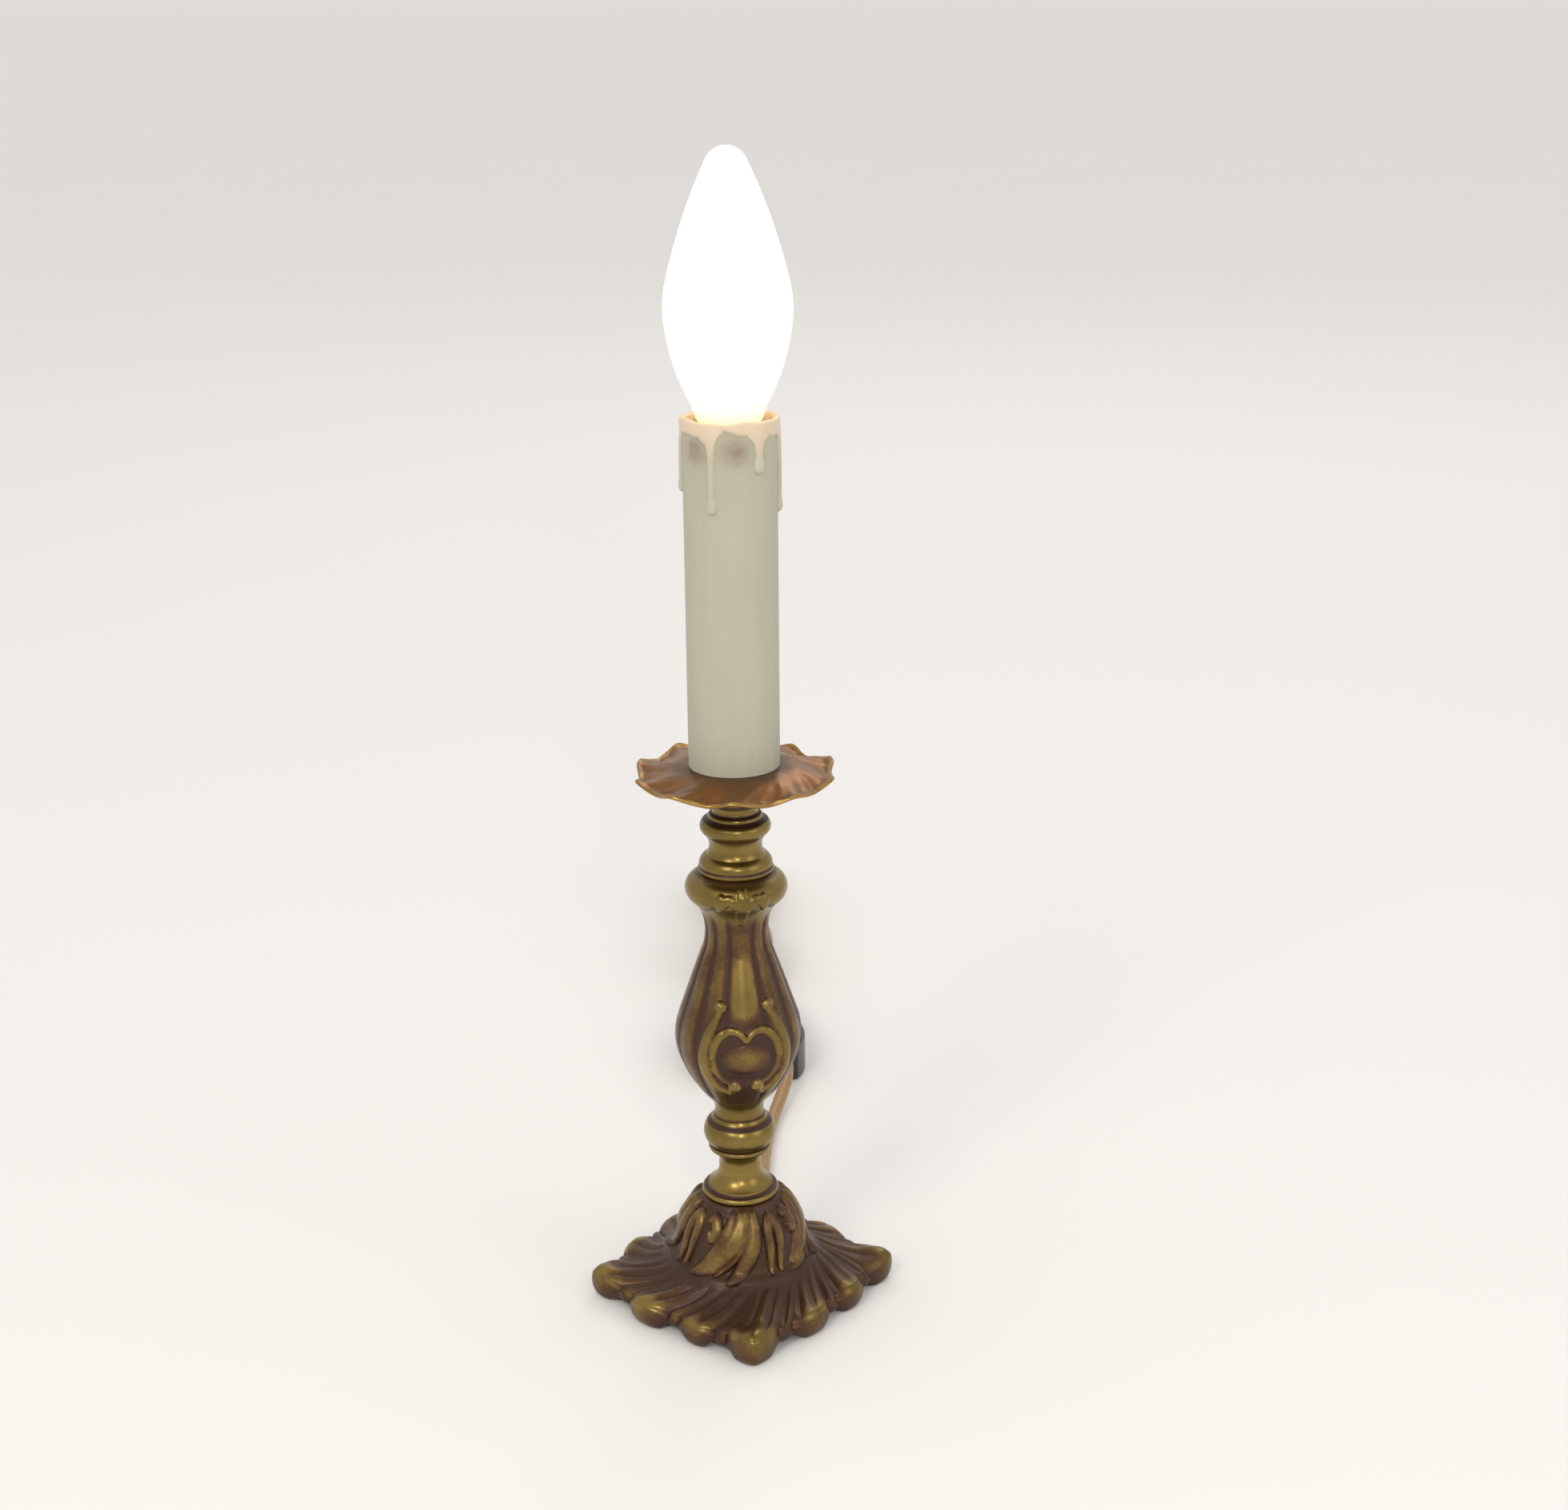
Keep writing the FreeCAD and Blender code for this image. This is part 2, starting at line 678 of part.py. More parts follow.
# Lampholder body with two terminal pockets
shell_out_r = shell_r + shell_t
body = rod(holder_r, holder_low_z, holder_top_z)
body = body.cut(rod(shell_out_r + rest_gap, holder_floor_z, holder_top_z + overrun))
pocket_top_z = pocket_low_z + pocket_h
for way in (1, -1):
    low_x, high_x = sorted((way * pocket_x, way * (holder_r + overrun)))
    body = body.cut(block((low_x, -pocket_w / 2, pocket_low_z), (high_x, pocket_w / 2, pocket_top_z)))
    body = body.cut(rod(core_r + wire_gap, holder_low_z - overrun, pocket_low_z + overrun, way * core_reach))
for screw_y in (holder_screw_y, -holder_screw_y):
    body = body.cut(rod(holder_screw_r, holder_low_z - overrun, holder_low_z + holder_screw_l, 0.0, screw_y))
save("holder_body", body)

shell = rod(shell_out_r, shell_low_z, shell_top_z)
shell = shell.cut(rod(shell_r, shell_low_z - overrun, shell_top_z + overrun))
shell_foot = rod(shell_out_r, shell_low_z - shell_t, shell_low_z)
shell_foot = shell_foot.cut(rod(contact_r + easy_gap, shell_low_z - overrun, shell_low_z + overrun))
shell_legs = rod(shell_out_r, holder_floor_z, shell_low_z).cut(rod(shell_r, holder_floor_z - overrun, shell_low_z))
leg_keep = block((-shell_out_r, -contact_r / 2, holder_floor_z), (shell_out_r, contact_r / 2, shell_low_z))
save("holder_shell", shell.fuse([shell_foot, shell_legs.common(leg_keep)]))

contact = rod(contact_r, holder_floor_z, holder_floor_z + contact_t)
contact = contact.fuse(rod(contact_post_r, holder_floor_z, bulb_tip_z - rest_gap))
save("holder_contact", contact)

for name, way in (("terminal_live", 1), ("terminal_neutral", -1)):
    low_x, high_x = sorted((way * pocket_x, way * (pocket_x + terminal_t)))
    clamp = block((low_x, -pocket_w / 2 + easy_gap, pocket_low_z), (high_x, pocket_w / 2 - easy_gap, pocket_top_z))
    clamp = clamp.cut(rod(core_r + wire_gap, pocket_low_z - overrun, pocket_low_z + pocket_h / 2, way * core_reach))
    head_z = pocket_low_z + terminal_rise
    head = Part.makeCylinder(terminal_r, terminal_head_t, Vector(way * (pocket_x + terminal_t), 0, head_z),
                             Vector(way, 0, 0))
    save(name, clamp.fuse(head))

for name, screw_y in (("holder_screw_back", holder_screw_y), ("holder_screw_front", -holder_screw_y)):
    head_low_z = bar_low_z - holder_screw_head_t
    screw = rod(holder_screw_head_r, head_low_z, bar_low_z, 0.0, screw_y)
    screw = screw.fuse(rod(holder_screw_r, bar_low_z, holder_low_z + holder_screw_l - rest_gap, 0.0, screw_y))
    save(name, screw)

# Bulb: glass envelope, screw cap, insulator and centre contact tip
def crown_point(r, deg):
    return r * math.cos(math.radians(deg)), crown_z + r * math.sin(math.radians(deg))


def glass_wall(inset):
    """Outline of the glass from the neck up to the round crown, set in by the wall for the inside."""
    arcs = []
    for mid_r, mid_rise, end_r, end_rise in glass_rows:
        arcs.append((mid_r - inset, bulb_tip_z + mid_rise, end_r - inset, bulb_tip_z + end_rise))
    r = crown_r - inset
    start = crown_point(r, crown_from_deg)
    arcs.append((brow_mid_r - inset, bulb_tip_z + brow_rise, *start))
    edges, last = arc_chain((glass_neck_r - inset, cap_top_z), arcs)
    middle = crown_point(r, (crown_from_deg + 90) / 2)
    edges.append(Part.Arc(last, on_axis(*middle), on_axis(0, crown_z + r)).toShape())
    return edges


inner_neck_r = glass_neck_r - glass_t
glass_edges = glass_wall(0)
glass_edges.append(Part.makeLine(on_axis(0, crown_z + crown_r), on_axis(0, crown_z + crown_r - glass_t)))
glass_edges += reversed(glass_wall(glass_t))
glass_edges.append(Part.makeLine(on_axis(inner_neck_r, cap_top_z), on_axis(inner_neck_r, glass_low_z)))
glass_edges.append(Part.makeLine(on_axis(inner_neck_r, glass_low_z), on_axis(glass_neck_r, glass_low_z)))
glass_edges.append(Part.makeLine(on_axis(glass_neck_r, glass_low_z), on_axis(glass_neck_r, cap_top_z)))
save("bulb_glass", turned(glass_edges))

cap = turned([
    Part.makeLine(on_axis(insulator_r, insulator_top_z), on_axis(cap_r, cap_cone_z)),
    Part.makeLine(on_axis(cap_r, cap_cone_z), on_axis(cap_r, cap_skirt_z)),
    Part.makeLine(on_axis(cap_r, cap_skirt_z), on_axis(cap_skirt_r, glass_low_z)),
    Part.makeLine(on_axis(cap_skirt_r, glass_low_z), on_axis(cap_skirt_r, cap_top_z)),
    Part.makeLine(on_axis(cap_skirt_r, cap_top_z), on_axis(glass_neck_r, cap_top_z)),
    Part.makeLine(on_axis(glass_neck_r, cap_top_z), on_axis(glass_neck_r, glass_low_z)),
    Part.makeLine(on_axis(glass_neck_r, glass_low_z), on_axis(cap_r - cap_t, cap_skirt_z)),
    Part.makeLine(on_axis(cap_r - cap_t, cap_skirt_z), on_axis(cap_r - cap_t, cap_cone_z)),
    Part.makeLine(on_axis(cap_r - cap_t, cap_cone_z), on_axis(insulator_r - cap_t, insulator_top_z)),
    Part.makeLine(on_axis(insulator_r - cap_t, insulator_top_z), on_axis(insulator_r, insulator_top_z)),
])
save("bulb_cap", cap)
insulator = rod(insulator_r, bulb_tip_z + tip_h, insulator_top_z)
save("bulb_insulator", insulator)
save("bulb_tip", rod(tip_r, bulb_tip_z, bulb_tip_z + tip_h))

# Cord inside the foot and the tube, with its two cores to the terminals
bend_centre = exit_way * cord_bend_r + Vector(0, 0, cord_exit_z + cord_bend_r)
diagonal = (exit_way * -1 + axis * -1).normalize()
bush_end = exit_line + exit_way * (exit_bush_reach + exit_bush_l)
inner_wire = Part.Wire([
    Part.LineSegment(Vector(0, 0, cord_sheath_end_z), Vector(0, 0, cord_exit_z + cord_bend_r)).toShape(),
    Part.Arc(Vector(0, 0, cord_exit_z + cord_bend_r), bend_centre + diagonal * cord_bend_r,
             exit_way * cord_bend_r + exit_line).toShape(),
    Part.LineSegment(exit_way * cord_bend_r + exit_line, bush_end).toShape(),
])
save("cord_inside", tube_along(inner_wire, cord_r))
exit_bush = Part.makeCylinder(exit_bush_r, exit_bush_l, exit_line + exit_way * exit_bush_reach, exit_way)
exit_bore = Part.makeCylinder(cord_r, exit_bush_l + 2 * overrun,
                              exit_line + exit_way * (exit_bush_reach - overrun), exit_way)
save("exit_bush", exit_bush.cut(exit_bore))
for name, way in (("core_live", 1), ("core_neutral", -1)):
    start = Vector(way * (core_r + wire_gap), 0, cord_sheath_end_z)
    core_points = [start, Vector(start.x, 0, cord_sheath_end_z + core_knee),
                   Vector(way * core_reach, 0, cord_sheath_end_z + core_spread),
                   Vector(way * core_reach, 0, pocket_low_z + pocket_h / 2 - wire_gap)]
    core_wire, core_radii = rounded_path(core_points)
    save(name, tube_along(core_wire, core_r))

# Cord on the table, from the foot to the switch
lead_route = [(57.0, 7.0, 2.6), (72.0, 7.9, 2.3), (88.0, 9.1, 2.3), (104.0, 11.3, 2.5), (118.5, 15.0, 4.4),
              (129.6, 17.8, 7.1)]
switch_z = switch_split_z
near = lay(switch_near[0], switch_near[1], switch_z)
far = lay(switch_far[0], switch_far[1], switch_z)
switch_way = (far - near).normalize()
lead_points = [bush_end] + [lay(*p) for p in lead_route] + [near]
lead_wire, lead_radii = rounded_path(lead_points)
lead = tube_along(lead_wire, cord_r)
print("lead length", round(lead_wire.Length, 1), "radii", lead_radii,
      "volume share", round(lead.Volume / (math.pi * cord_r ** 2 * lead_wire.Length), 4))
save("cord_lead", lead)

# In-line switch in its own frame: U along it, V across, then laid down
switch_l = (far - near).Length
switch_turn = math.degrees(math.atan2(switch_way.y, switch_way.x))


def lay_switch(shape):
    shape.rotate(origin, axis, switch_turn)
    shape.translate(Vector(near.x, near.y, 0))
    return shape


def switch_outline(z):
    half = switch_w / 2
    nose = switch_nose_w / 2
    waist = (nose + half) / 2 + switch_bulge
    stations = [(0.0, nose), (switch_shoulder_l, half), (switch_l - switch_shoulder_l, half), (switch_l, nose)]
    right = [Vector(u, v, z) for u, v in stations]
    left = [Vector(u, -v, z) for u, v in reversed(stations)]
    edges = []
    edges.append(Part.Arc(right[0], Vector(switch_bulge_l, waist, z), right[1]).toShape())
    edges.append(Part.makeLine(right[1], right[2]))
    edges.append(Part.Arc(right[2], Vector(switch_l - switch_bulge_l, waist, z), right[3]).toShape())
    edges.append(Part.makeLine(right[3], left[0]))
    edges.append(Part.Arc(left[0], Vector(switch_l - switch_bulge_l, -waist, z), left[1]).toShape())
    edges.append(Part.makeLine(left[1], left[2]))
    edges.append(Part.Arc(left[2], Vector(switch_bulge_l, -waist, z), left[3]).toShape())
    edges.append(Part.makeLine(left[3], right[0]))
    return Part.Wire(edges)


mid_u = switch_l / 2
cave_l = switch_l - 2 * switch_shoulder_l
cord_hole = Part.makeCylinder(cord_r, switch_bore_l, Vector(-overrun, 0, switch_z), Vector(1, 0, 0))
far_hole = Part.makeCylinder(cord_r, switch_bore_l, Vector(switch_l + overrun, 0, switch_z), Vector(-1, 0, 0))
cave = block((mid_u - cave_l / 2, -switch_w / 2 + switch_wall, switch_wall),
             (mid_u + cave_l / 2, switch_w / 2 - switch_wall, switch_h - switch_wall))
lower = Part.Face(switch_outline(0.0)).extrude(axis * switch_split_z)
upper = Part.Face(switch_outline(switch_split_z)).extrude(axis * (switch_h - switch_split_z))
lower_edges = [e for e in lower.Edges if abs(e.BoundBox.ZMax) < edge_trace]
upper_edges = [e for e in upper.Edges if abs(e.BoundBox.ZMin - switch_h) < edge_trace]
lower = lower.makeChamfer(switch_bevel, lower_edges)
upper = upper.makeFillet(switch_round_r, upper_edges)
window = block((mid_u - rocker_l / 2 - easy_gap, -rocker_w / 2 - easy_gap, switch_h - 2 * switch_wall),
               (mid_u + rocker_l / 2 + easy_gap, rocker_w / 2 + easy_gap, switch_h + overrun))
collar_half = rocker_w / 2 + easy_gap
cheeks = []
for way in (1, -1):
    low_v, high_v = sorted((way * collar_half, way * (collar_half + rocker_pin_l + switch_wall)))
    cheeks.append(block((mid_u - cheek_half, low_v, rocker_pin_z - cheek_half),
                        (mid_u + cheek_half, high_v, switch_h - cheek_top_gap)))
pin_hole_l = 2 * (collar_half + rocker_pin_l + easy_gap)
pin_hole = Part.makeCylinder(rocker_pin_r + running_gap, pin_hole_l,
                             Vector(mid_u, -pin_hole_l / 2, rocker_pin_z), Vector(0, 1, 0))
lower = lower.cut(cave).cut(cord_hole).cut(far_hole)
upper = upper.cut(cave).cut(window).fuse(cheeks).cut(pin_hole).cut(cord_hole).cut(far_hole)
save("switch_lower", lay_switch(lower))
save("switch_upper", lay_switch(upper))
half_l = rocker_l / 2 - easy_gap
top_z = switch_h + rocker_rise
rocker_face = Part.Face(Part.makePolygon([
    Vector(mid_u - half_l, -rocker_w / 2, rocker_pin_z - rocker_pin_r),
    Vector(mid_u, -rocker_w / 2, top_z - rocker_h),
    Vector(mid_u + half_l, -rocker_w / 2, rocker_pin_z - rocker_pin_r),
    Vector(mid_u + half_l, -rocker_w / 2, top_z),
    Vector(mid_u, -rocker_w / 2, top_z - rocker_dip),
    Vector(mid_u - half_l, -rocker_w / 2, top_z),
    Vector(mid_u - half_l, -rocker_w / 2, rocker_pin_z - rocker_pin_r),
]))
rocker = rocker_face.extrude(Vector(0, rocker_w, 0))
pins_l = rocker_w + 2 * rocker_pin_l
rocker = rocker.fuse(Part.makeCylinder(rocker_pin_r, pins_l, Vector(mid_u, -pins_l / 2, rocker_pin_z),
                                       Vector(0, 1, 0)))
rocker.rotate(Vector(mid_u, 0, rocker_pin_z), Vector(0, 1, 0), rocker_tilt_deg)
save("switch_rocker", lay_switch(rocker))
pivot = near + switch_way * mid_u
print("rocker pivot", round(pivot.x, 3), round(pivot.y, 3), rocker_pin_z,
      "axis", round(-switch_way.y, 5), round(switch_way.x, 5))

# Hank: four layers of one long loop, drawn in at the waist, wound down from the top,
# stepping down a layer in each front fold
layer_z = [hank_low_z + hank_pitch * i for i in range(hank_layers)]
side_l = (hank_run - hank_waist_l) / 2
ahead = (lay(1, 0, 0) - lay(0, 0, 0)).normalize()
right = (lay(0, 1, 0) - lay(0, 0, 0)).normalize()


def knot(u, v, z, way):
    return lay(hank_s + u, hank_v + v, z), Vector(way).normalize()


hank_knots = []
for layer in reversed(range(hank_layers)):
    z = layer_z[layer]
    hank_knots.append(knot(0.0, hank_half_w, z, ahead))
    hank_knots.append(knot(side_l, hank_waist_half, z, ahead))
    hank_knots.append(knot(side_l + hank_waist_l, hank_waist_half, z, ahead))
    hank_knots.append(knot(hank_run, hank_half_w, z, ahead))
    hank_knots.append(knot(hank_run + hank_half_w, 0.0, z, right * -1))
    hank_knots.append(knot(hank_run, -hank_half_w, z, ahead * -1))
    hank_knots.append(knot(side_l + hank_waist_l, -hank_waist_half, z, ahead * -1))
    hank_knots.append(knot(side_l, -hank_waist_half, z, ahead * -1))
    hank_knots.append(knot(0.0, -hank_half_w, z, ahead * -1))
    if layer > 0:
        hank_knots.append(knot(-hank_half_w, 0.0, z - hank_pitch / 2, right - axis * hank_fold_slope))
hank_edges = []
for (p0, t0), (p1, t1) in zip(hank_knots, hank_knots[1:]):
    if (p1 - p0).cross(t0).Length < edge_trace and t0.cross(t1).Length < edge_trace:
        hank_edges.append(Part.LineSegment(p0, p1).toShape())
    else:
        hank_edges += biarc(p0, t0, p1, t1)
hank_wire = Part.Wire(hank_edges)
hank = tube_along(hank_wire, cord_r)
samples = hank_wire.discretize(Number=int(hank_wire.Length / hank_sample))
apart = math.ceil(3 * cord_d / hank_sample)
least = min(a.distanceToPoint(b) for i, a in enumerate(samples) for b in samples[i + apart:]) - cord_d
print("hank length", round(hank_wire.Length, 1), "least gap to itself", round(least, 2),
      "volume share", round(hank.Volume / (math.pi * cord_r ** 2 * hank_wire.Length), 4))
save("cord_hank", hank)

# Tie round the hank's waist
tie_half_v = hank_waist_half + cord_r + wire_gap
tie_low_z = wire_gap
tie_top_z = layer_z[-1] + cord_r + wire_gap
tie_u = hank_run / 2 - tie_w / 2
tie_out = Part.makeBox(tie_w, 2 * (tie_half_v + tie_t), tie_top_z + tie_t, Vector(tie_u, -tie_half_v - tie_t, 0))
tie_in = Part.makeBox(tie_w + 2 * overrun, 2 * tie_half_v, tie_top_z - tie_low_z - tie_t,
                      Vector(tie_u - overrun, -tie_half_v, tie_low_z + tie_t))
tie = tie_out.cut(tie_in)
tie.rotate(origin, axis, lay_deg)
tie.translate(lay(hank_s, hank_v, 0))
save("hank_tie", tie)

# Cord from the switch up onto the hank
jump_route = [(205.0, 7.9, 8.6), (213.5, 9.7, 13.6), (222.5, hank_v + hank_half_w, layer_z[-1])]
jump_points = [far] + [lay(*p) for p in jump_route] + [hank_knots[0][0]]
jump_wire, jump_radii = rounded_path(jump_points)
print("jump length", round(jump_wire.Length, 1), "radii", jump_radii)
save("cord_jump", tube_along(jump_wire, cord_r))

# Plug in its own frame: U runs from the face back along the cord
plug_z = plug_h / 2


def lay_plug(shape):
    shape.rotate(origin, axis, lay_deg)
    shape.translate(lay(plug_face_s, plug_v, 0))
    return shape


def round_box_wire(u, w, h, corner):
    y = w / 2
    z = h / 2
    c = corner * (1 - math.sqrt(0.5))
    middle = Vector(u, 0, plug_z)
    spots = [(y - corner, -z), (y - c, -z + c), (y, -z + corner), (y, z - corner), (y - c, z - c), (y - corner, z),
             (-y + corner, z), (-y + c, z - c), (-y, z - corner), (-y, -z + corner), (-y + c, -z + c),
             (-y + corner, -z)]
    p = [middle + Vector(0, a, b) for a, b in spots]
    edges = []
    for i in range(0, 12, 3):
        edges.append(Part.Arc(p[i], p[i + 1], p[i + 2]).toShape())
        edges.append(Part.makeLine(p[i + 2], p[(i + 3) % 12]))
    return Part.Wire(edges)


plug_body = Part.makeLoft([round_box_wire(0.0, plug_w, plug_h, plug_corner_r),
                           round_box_wire(plug_waist_l, plug_w, plug_h, plug_corner_r)], True, True)
plug_tail = Part.makeLoft([round_box_wire(plug_waist_l, plug_w, plug_h, plug_corner_r),
                           round_box_wire(plug_body_l, plug_tail_w, plug_tail_h, plug_corner_r)], True, True)
blade_low_z = plug_z - blade_w / 2
plug_shape = plug_body.fuse(plug_tail)
plug_shape = plug_shape.cut(Part.makeCylinder(cord_r, plug_body_l, Vector(plug_waist_l, 0, plug_z), Vector(1, 0, 0)))
blades = []
for way in (1, -1):
    low_v = way * blade_pitch / 2 - blade_t / 2
    profile = Part.Face(Part.makePolygon([
        Vector(blade_root, low_v, blade_low_z),
        Vector(-blade_l + blade_tip, low_v, blade_low_z),
        Vector(-blade_l, low_v, blade_low_z + blade_tip),
        Vector(-blade_l, low_v, blade_low_z + blade_w - blade_tip),
        Vector(-blade_l + blade_tip, low_v, blade_low_z + blade_w),
        Vector(blade_root, low_v, blade_low_z + blade_w),
        Vector(blade_root, low_v, blade_low_z),
    ]))
    blade = profile.extrude(Vector(0, blade_t, 0))
    plug_shape = plug_shape.cut(blade)
    blades.append(blade)
save("plug_body", lay_plug(plug_shape))
save("plug_blade_left", lay_plug(blades[0]))
save("plug_blade_right", lay_plug(blades[1]))
relief = Part.makeCone(plug_relief_r, plug_relief_end_r, plug_relief_l, Vector(plug_body_l, 0, plug_z), Vector(1, 0, 0))
relief = relief.cut(Part.makeCylinder(cord_r, plug_relief_l + 2 * overrun,
                                      Vector(plug_body_l - overrun, 0, plug_z), Vector(1, 0, 0)))
save("plug_relief", lay_plug(relief))

# Cord from the hank's lowest layer into the plug
tail_route = [(220.0, hank_v - hank_half_w, hank_low_z), (208.5, plug_v, plug_z)]
tail_end = lay(plug_face_s + plug_cord_end, plug_v, plug_z)
tail_points = [hank_knots[-1][0]] + [lay(*p) for p in tail_route] + [tail_end]
tail_wire, tail_radii = rounded_path(tail_points)
print("tail length", round(tail_wire.Length, 1), "radii", tail_radii)
save("cord_tail", tube_along(tail_wire, cord_r))
print("cord outside the lamp", round(lead_wire.Length + switch_l + jump_wire.Length + hank_wire.Length
                                     + tail_wire.Length, 1))
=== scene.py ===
"""Looks of a candlestick table lamp: cast brass foot, vase and leaf pan, candle sleeve, lit bulb, cord."""
import math

import bpy
import numpy as np
from mathutils import Matrix, Vector


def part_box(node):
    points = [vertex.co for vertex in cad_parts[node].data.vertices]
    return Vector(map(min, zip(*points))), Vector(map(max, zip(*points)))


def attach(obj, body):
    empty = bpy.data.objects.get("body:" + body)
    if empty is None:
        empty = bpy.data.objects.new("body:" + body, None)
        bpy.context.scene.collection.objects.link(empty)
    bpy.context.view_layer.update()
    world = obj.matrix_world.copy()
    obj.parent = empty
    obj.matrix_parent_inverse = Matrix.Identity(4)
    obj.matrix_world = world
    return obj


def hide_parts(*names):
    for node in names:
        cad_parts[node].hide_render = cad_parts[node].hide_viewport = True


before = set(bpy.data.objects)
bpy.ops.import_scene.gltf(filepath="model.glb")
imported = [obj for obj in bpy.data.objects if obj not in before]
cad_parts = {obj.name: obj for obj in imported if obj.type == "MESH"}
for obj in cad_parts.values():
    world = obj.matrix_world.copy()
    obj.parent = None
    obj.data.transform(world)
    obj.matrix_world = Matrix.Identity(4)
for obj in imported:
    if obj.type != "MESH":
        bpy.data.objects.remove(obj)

bl_info = {
    "name": "Candlestick table lamp",
    "version": (1, 0, 0),
    "blender": (4, 5, 0),
    "location": "View3D > Sidebar > Candlestick",
    "description": "Builds the cast, waxed and lit pieces of a candlestick table lamp round its frame",
    "category": "Object",
}

# Camera of the photograph, in the part's frame
CAMERA_PLACE = (-0.04388, -0.62677, 0.37983)
CAMERA_AIM = (0.0876, 0.9451, -0.3147)
CAMERA_ROLL_DEG = -0.423
PHOTO_W = 1960
FOCAL_PX = 2907.0
SENSOR_MM = 36.0

MM = 0.001
DEG = math.radians(1)
TURN = 2 * math.pi
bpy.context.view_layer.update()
SLEEVE_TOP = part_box("candle_sleeve")[1][2]


def size_in_mm(name, description, default, top, low=0.0):
    """Length of which the default and the limits are given in mm."""
    return bpy.props.FloatProperty(name=name, description=description, default=default * MM, min=low * MM,
                                   max=top * MM, unit="LENGTH", precision=5)


def swatch(name, description, default):
    """Colour that a user can pick."""
    return bpy.props.FloatVectorProperty(name=name, description=description, default=default,
                                         subtype="COLOR", min=0.0, max=1.0)


# Properties that a user would change
class LampSizes(bpy.types.PropertyGroup):
    """Sizes of the relief, the wax and the cord."""

    flute_depth: size_in_mm("Flute depth", "Height of the flutes on the foot above their grooves", 1.7, 4.0)
    lobe_reach: size_in_mm("Lobe reach", "How far the border's lobes stand out past their notches", 3.2, 6.0)
    reed_depth: size_in_mm("Reed depth", "Depth of the grooves between the vase's reeds", 1.3, 3.0)
    scroll_height: size_in_mm("Scroll height", "Height of the cartouche's scrolls above the vase", 1.25, 3.0)
    rib_height: size_in_mm("Rib height", "Height of the ribs on the leaf pan", 0.10, 2.0)
    wax_height: size_in_mm("Wax thickness", "Thickness of the wax collar on the sleeve", 0.6, 2.0)
    cord_width: size_in_mm("Cord diameter", "Diameter of the supply cord", 4.4, 8.0, 2.0)


class LampColours(bpy.types.PropertyGroup):
    """Colours of the finishes and the light of the bulb."""

    gold: swatch("Rubbed brass", "Brass where it is rubbed bright", (0.27, 0.185, 0.050))
    patina: swatch("Patina", "Dark brown of the brass in the recesses", (0.050, 0.020, 0.009))
    tarnish: swatch("Tarnish", "Red-brown of the half-rubbed brass", (0.112, 0.052, 0.016))
    copper: swatch("Pan brass", "Redder brass of the leaf pan", (0.33, 0.140, 0.042))
    candle: swatch("Candle sleeve", "Aged grey-cream of the sleeve", (0.43, 0.415, 0.315))
    wax: swatch("Wax", "Lighter wax of the collar and the drips", (0.50, 0.455, 0.345))
    flex: swatch("Cord", "Gold-brown of the cord's sheath", (0.23, 0.125, 0.035))
    glow: swatch("Bulb light", "Colour of the lit bulb", (1.0, 0.90, 0.70))
    glow_strength: bpy.props.FloatProperty(
        name="Bulb strength", description="Strength of the lit bulb's glass", default=1.3, min=0.0,
        max=20.0)
    table: swatch("Table", "Pale table and background", (0.80, 0.775, 0.745))


# Shader expressions
def socket_named(sockets, key):
    if isinstance(key, int):
        return sockets[key]
    for socket in sockets:
        if socket.name == key and not socket.is_unavailable:
            return socket
    raise KeyError(key)


class Value:
    """One output socket; arithmetic on it adds Math nodes to its tree."""

    def __init__(self, tree, socket):
        self.tree = tree
        self.socket = socket

    def math(self, operation, *values, clamp=False):
        settings = {"operation": operation, "use_clamp": clamp}
        inputs = {i: value for i, value in enumerate(values)}
        return self.tree.add("ShaderNodeMath", settings, inputs)["Value"]

    def __add__(self, other):
        return self.math("ADD", self, other)

    def __radd__(self, other):
        return self.math("ADD", other, self)

    def __sub__(self, other):
        return self.math("SUBTRACT", self, other)

    def __rsub__(self, other):
        return self.math("SUBTRACT", other, self)

    def __mul__(self, other):
        return self.math("MULTIPLY", self, other)

    def __rmul__(self, other):
        return self.math("MULTIPLY", other, self)

    def __abs__(self):
        return self.math("ABSOLUTE", self)

    def clamped(self):
        return self.math("ADD", self, 0.0, clamp=True)

    def most(self, other):
        return self.math("MAXIMUM", self, other)

    def sway(self, amount):
        """A noise as a swing to both sides of 0, by half of the amount each way."""
        return (self - 0.5) * amount

    def step(self, low, high):
        """Smooth step from 0 at low to 1 at high."""
        settings = {"interpolation_type": "SMOOTHSTEP"}
        inputs = {"Value": self, "From Min": low, "From Max": high, "To Min": 0.0, "To Max": 1.0}
        return self.tree.add("ShaderNodeMapRange", settings, inputs)["Result"]


class Outputs:
    """Outputs of a node by name."""

    def __init__(self, tree, node):
        self.tree = tree
        self.node = node

    def __getitem__(self, key):
        return Value(self.tree, socket_named(self.node.outputs, key))


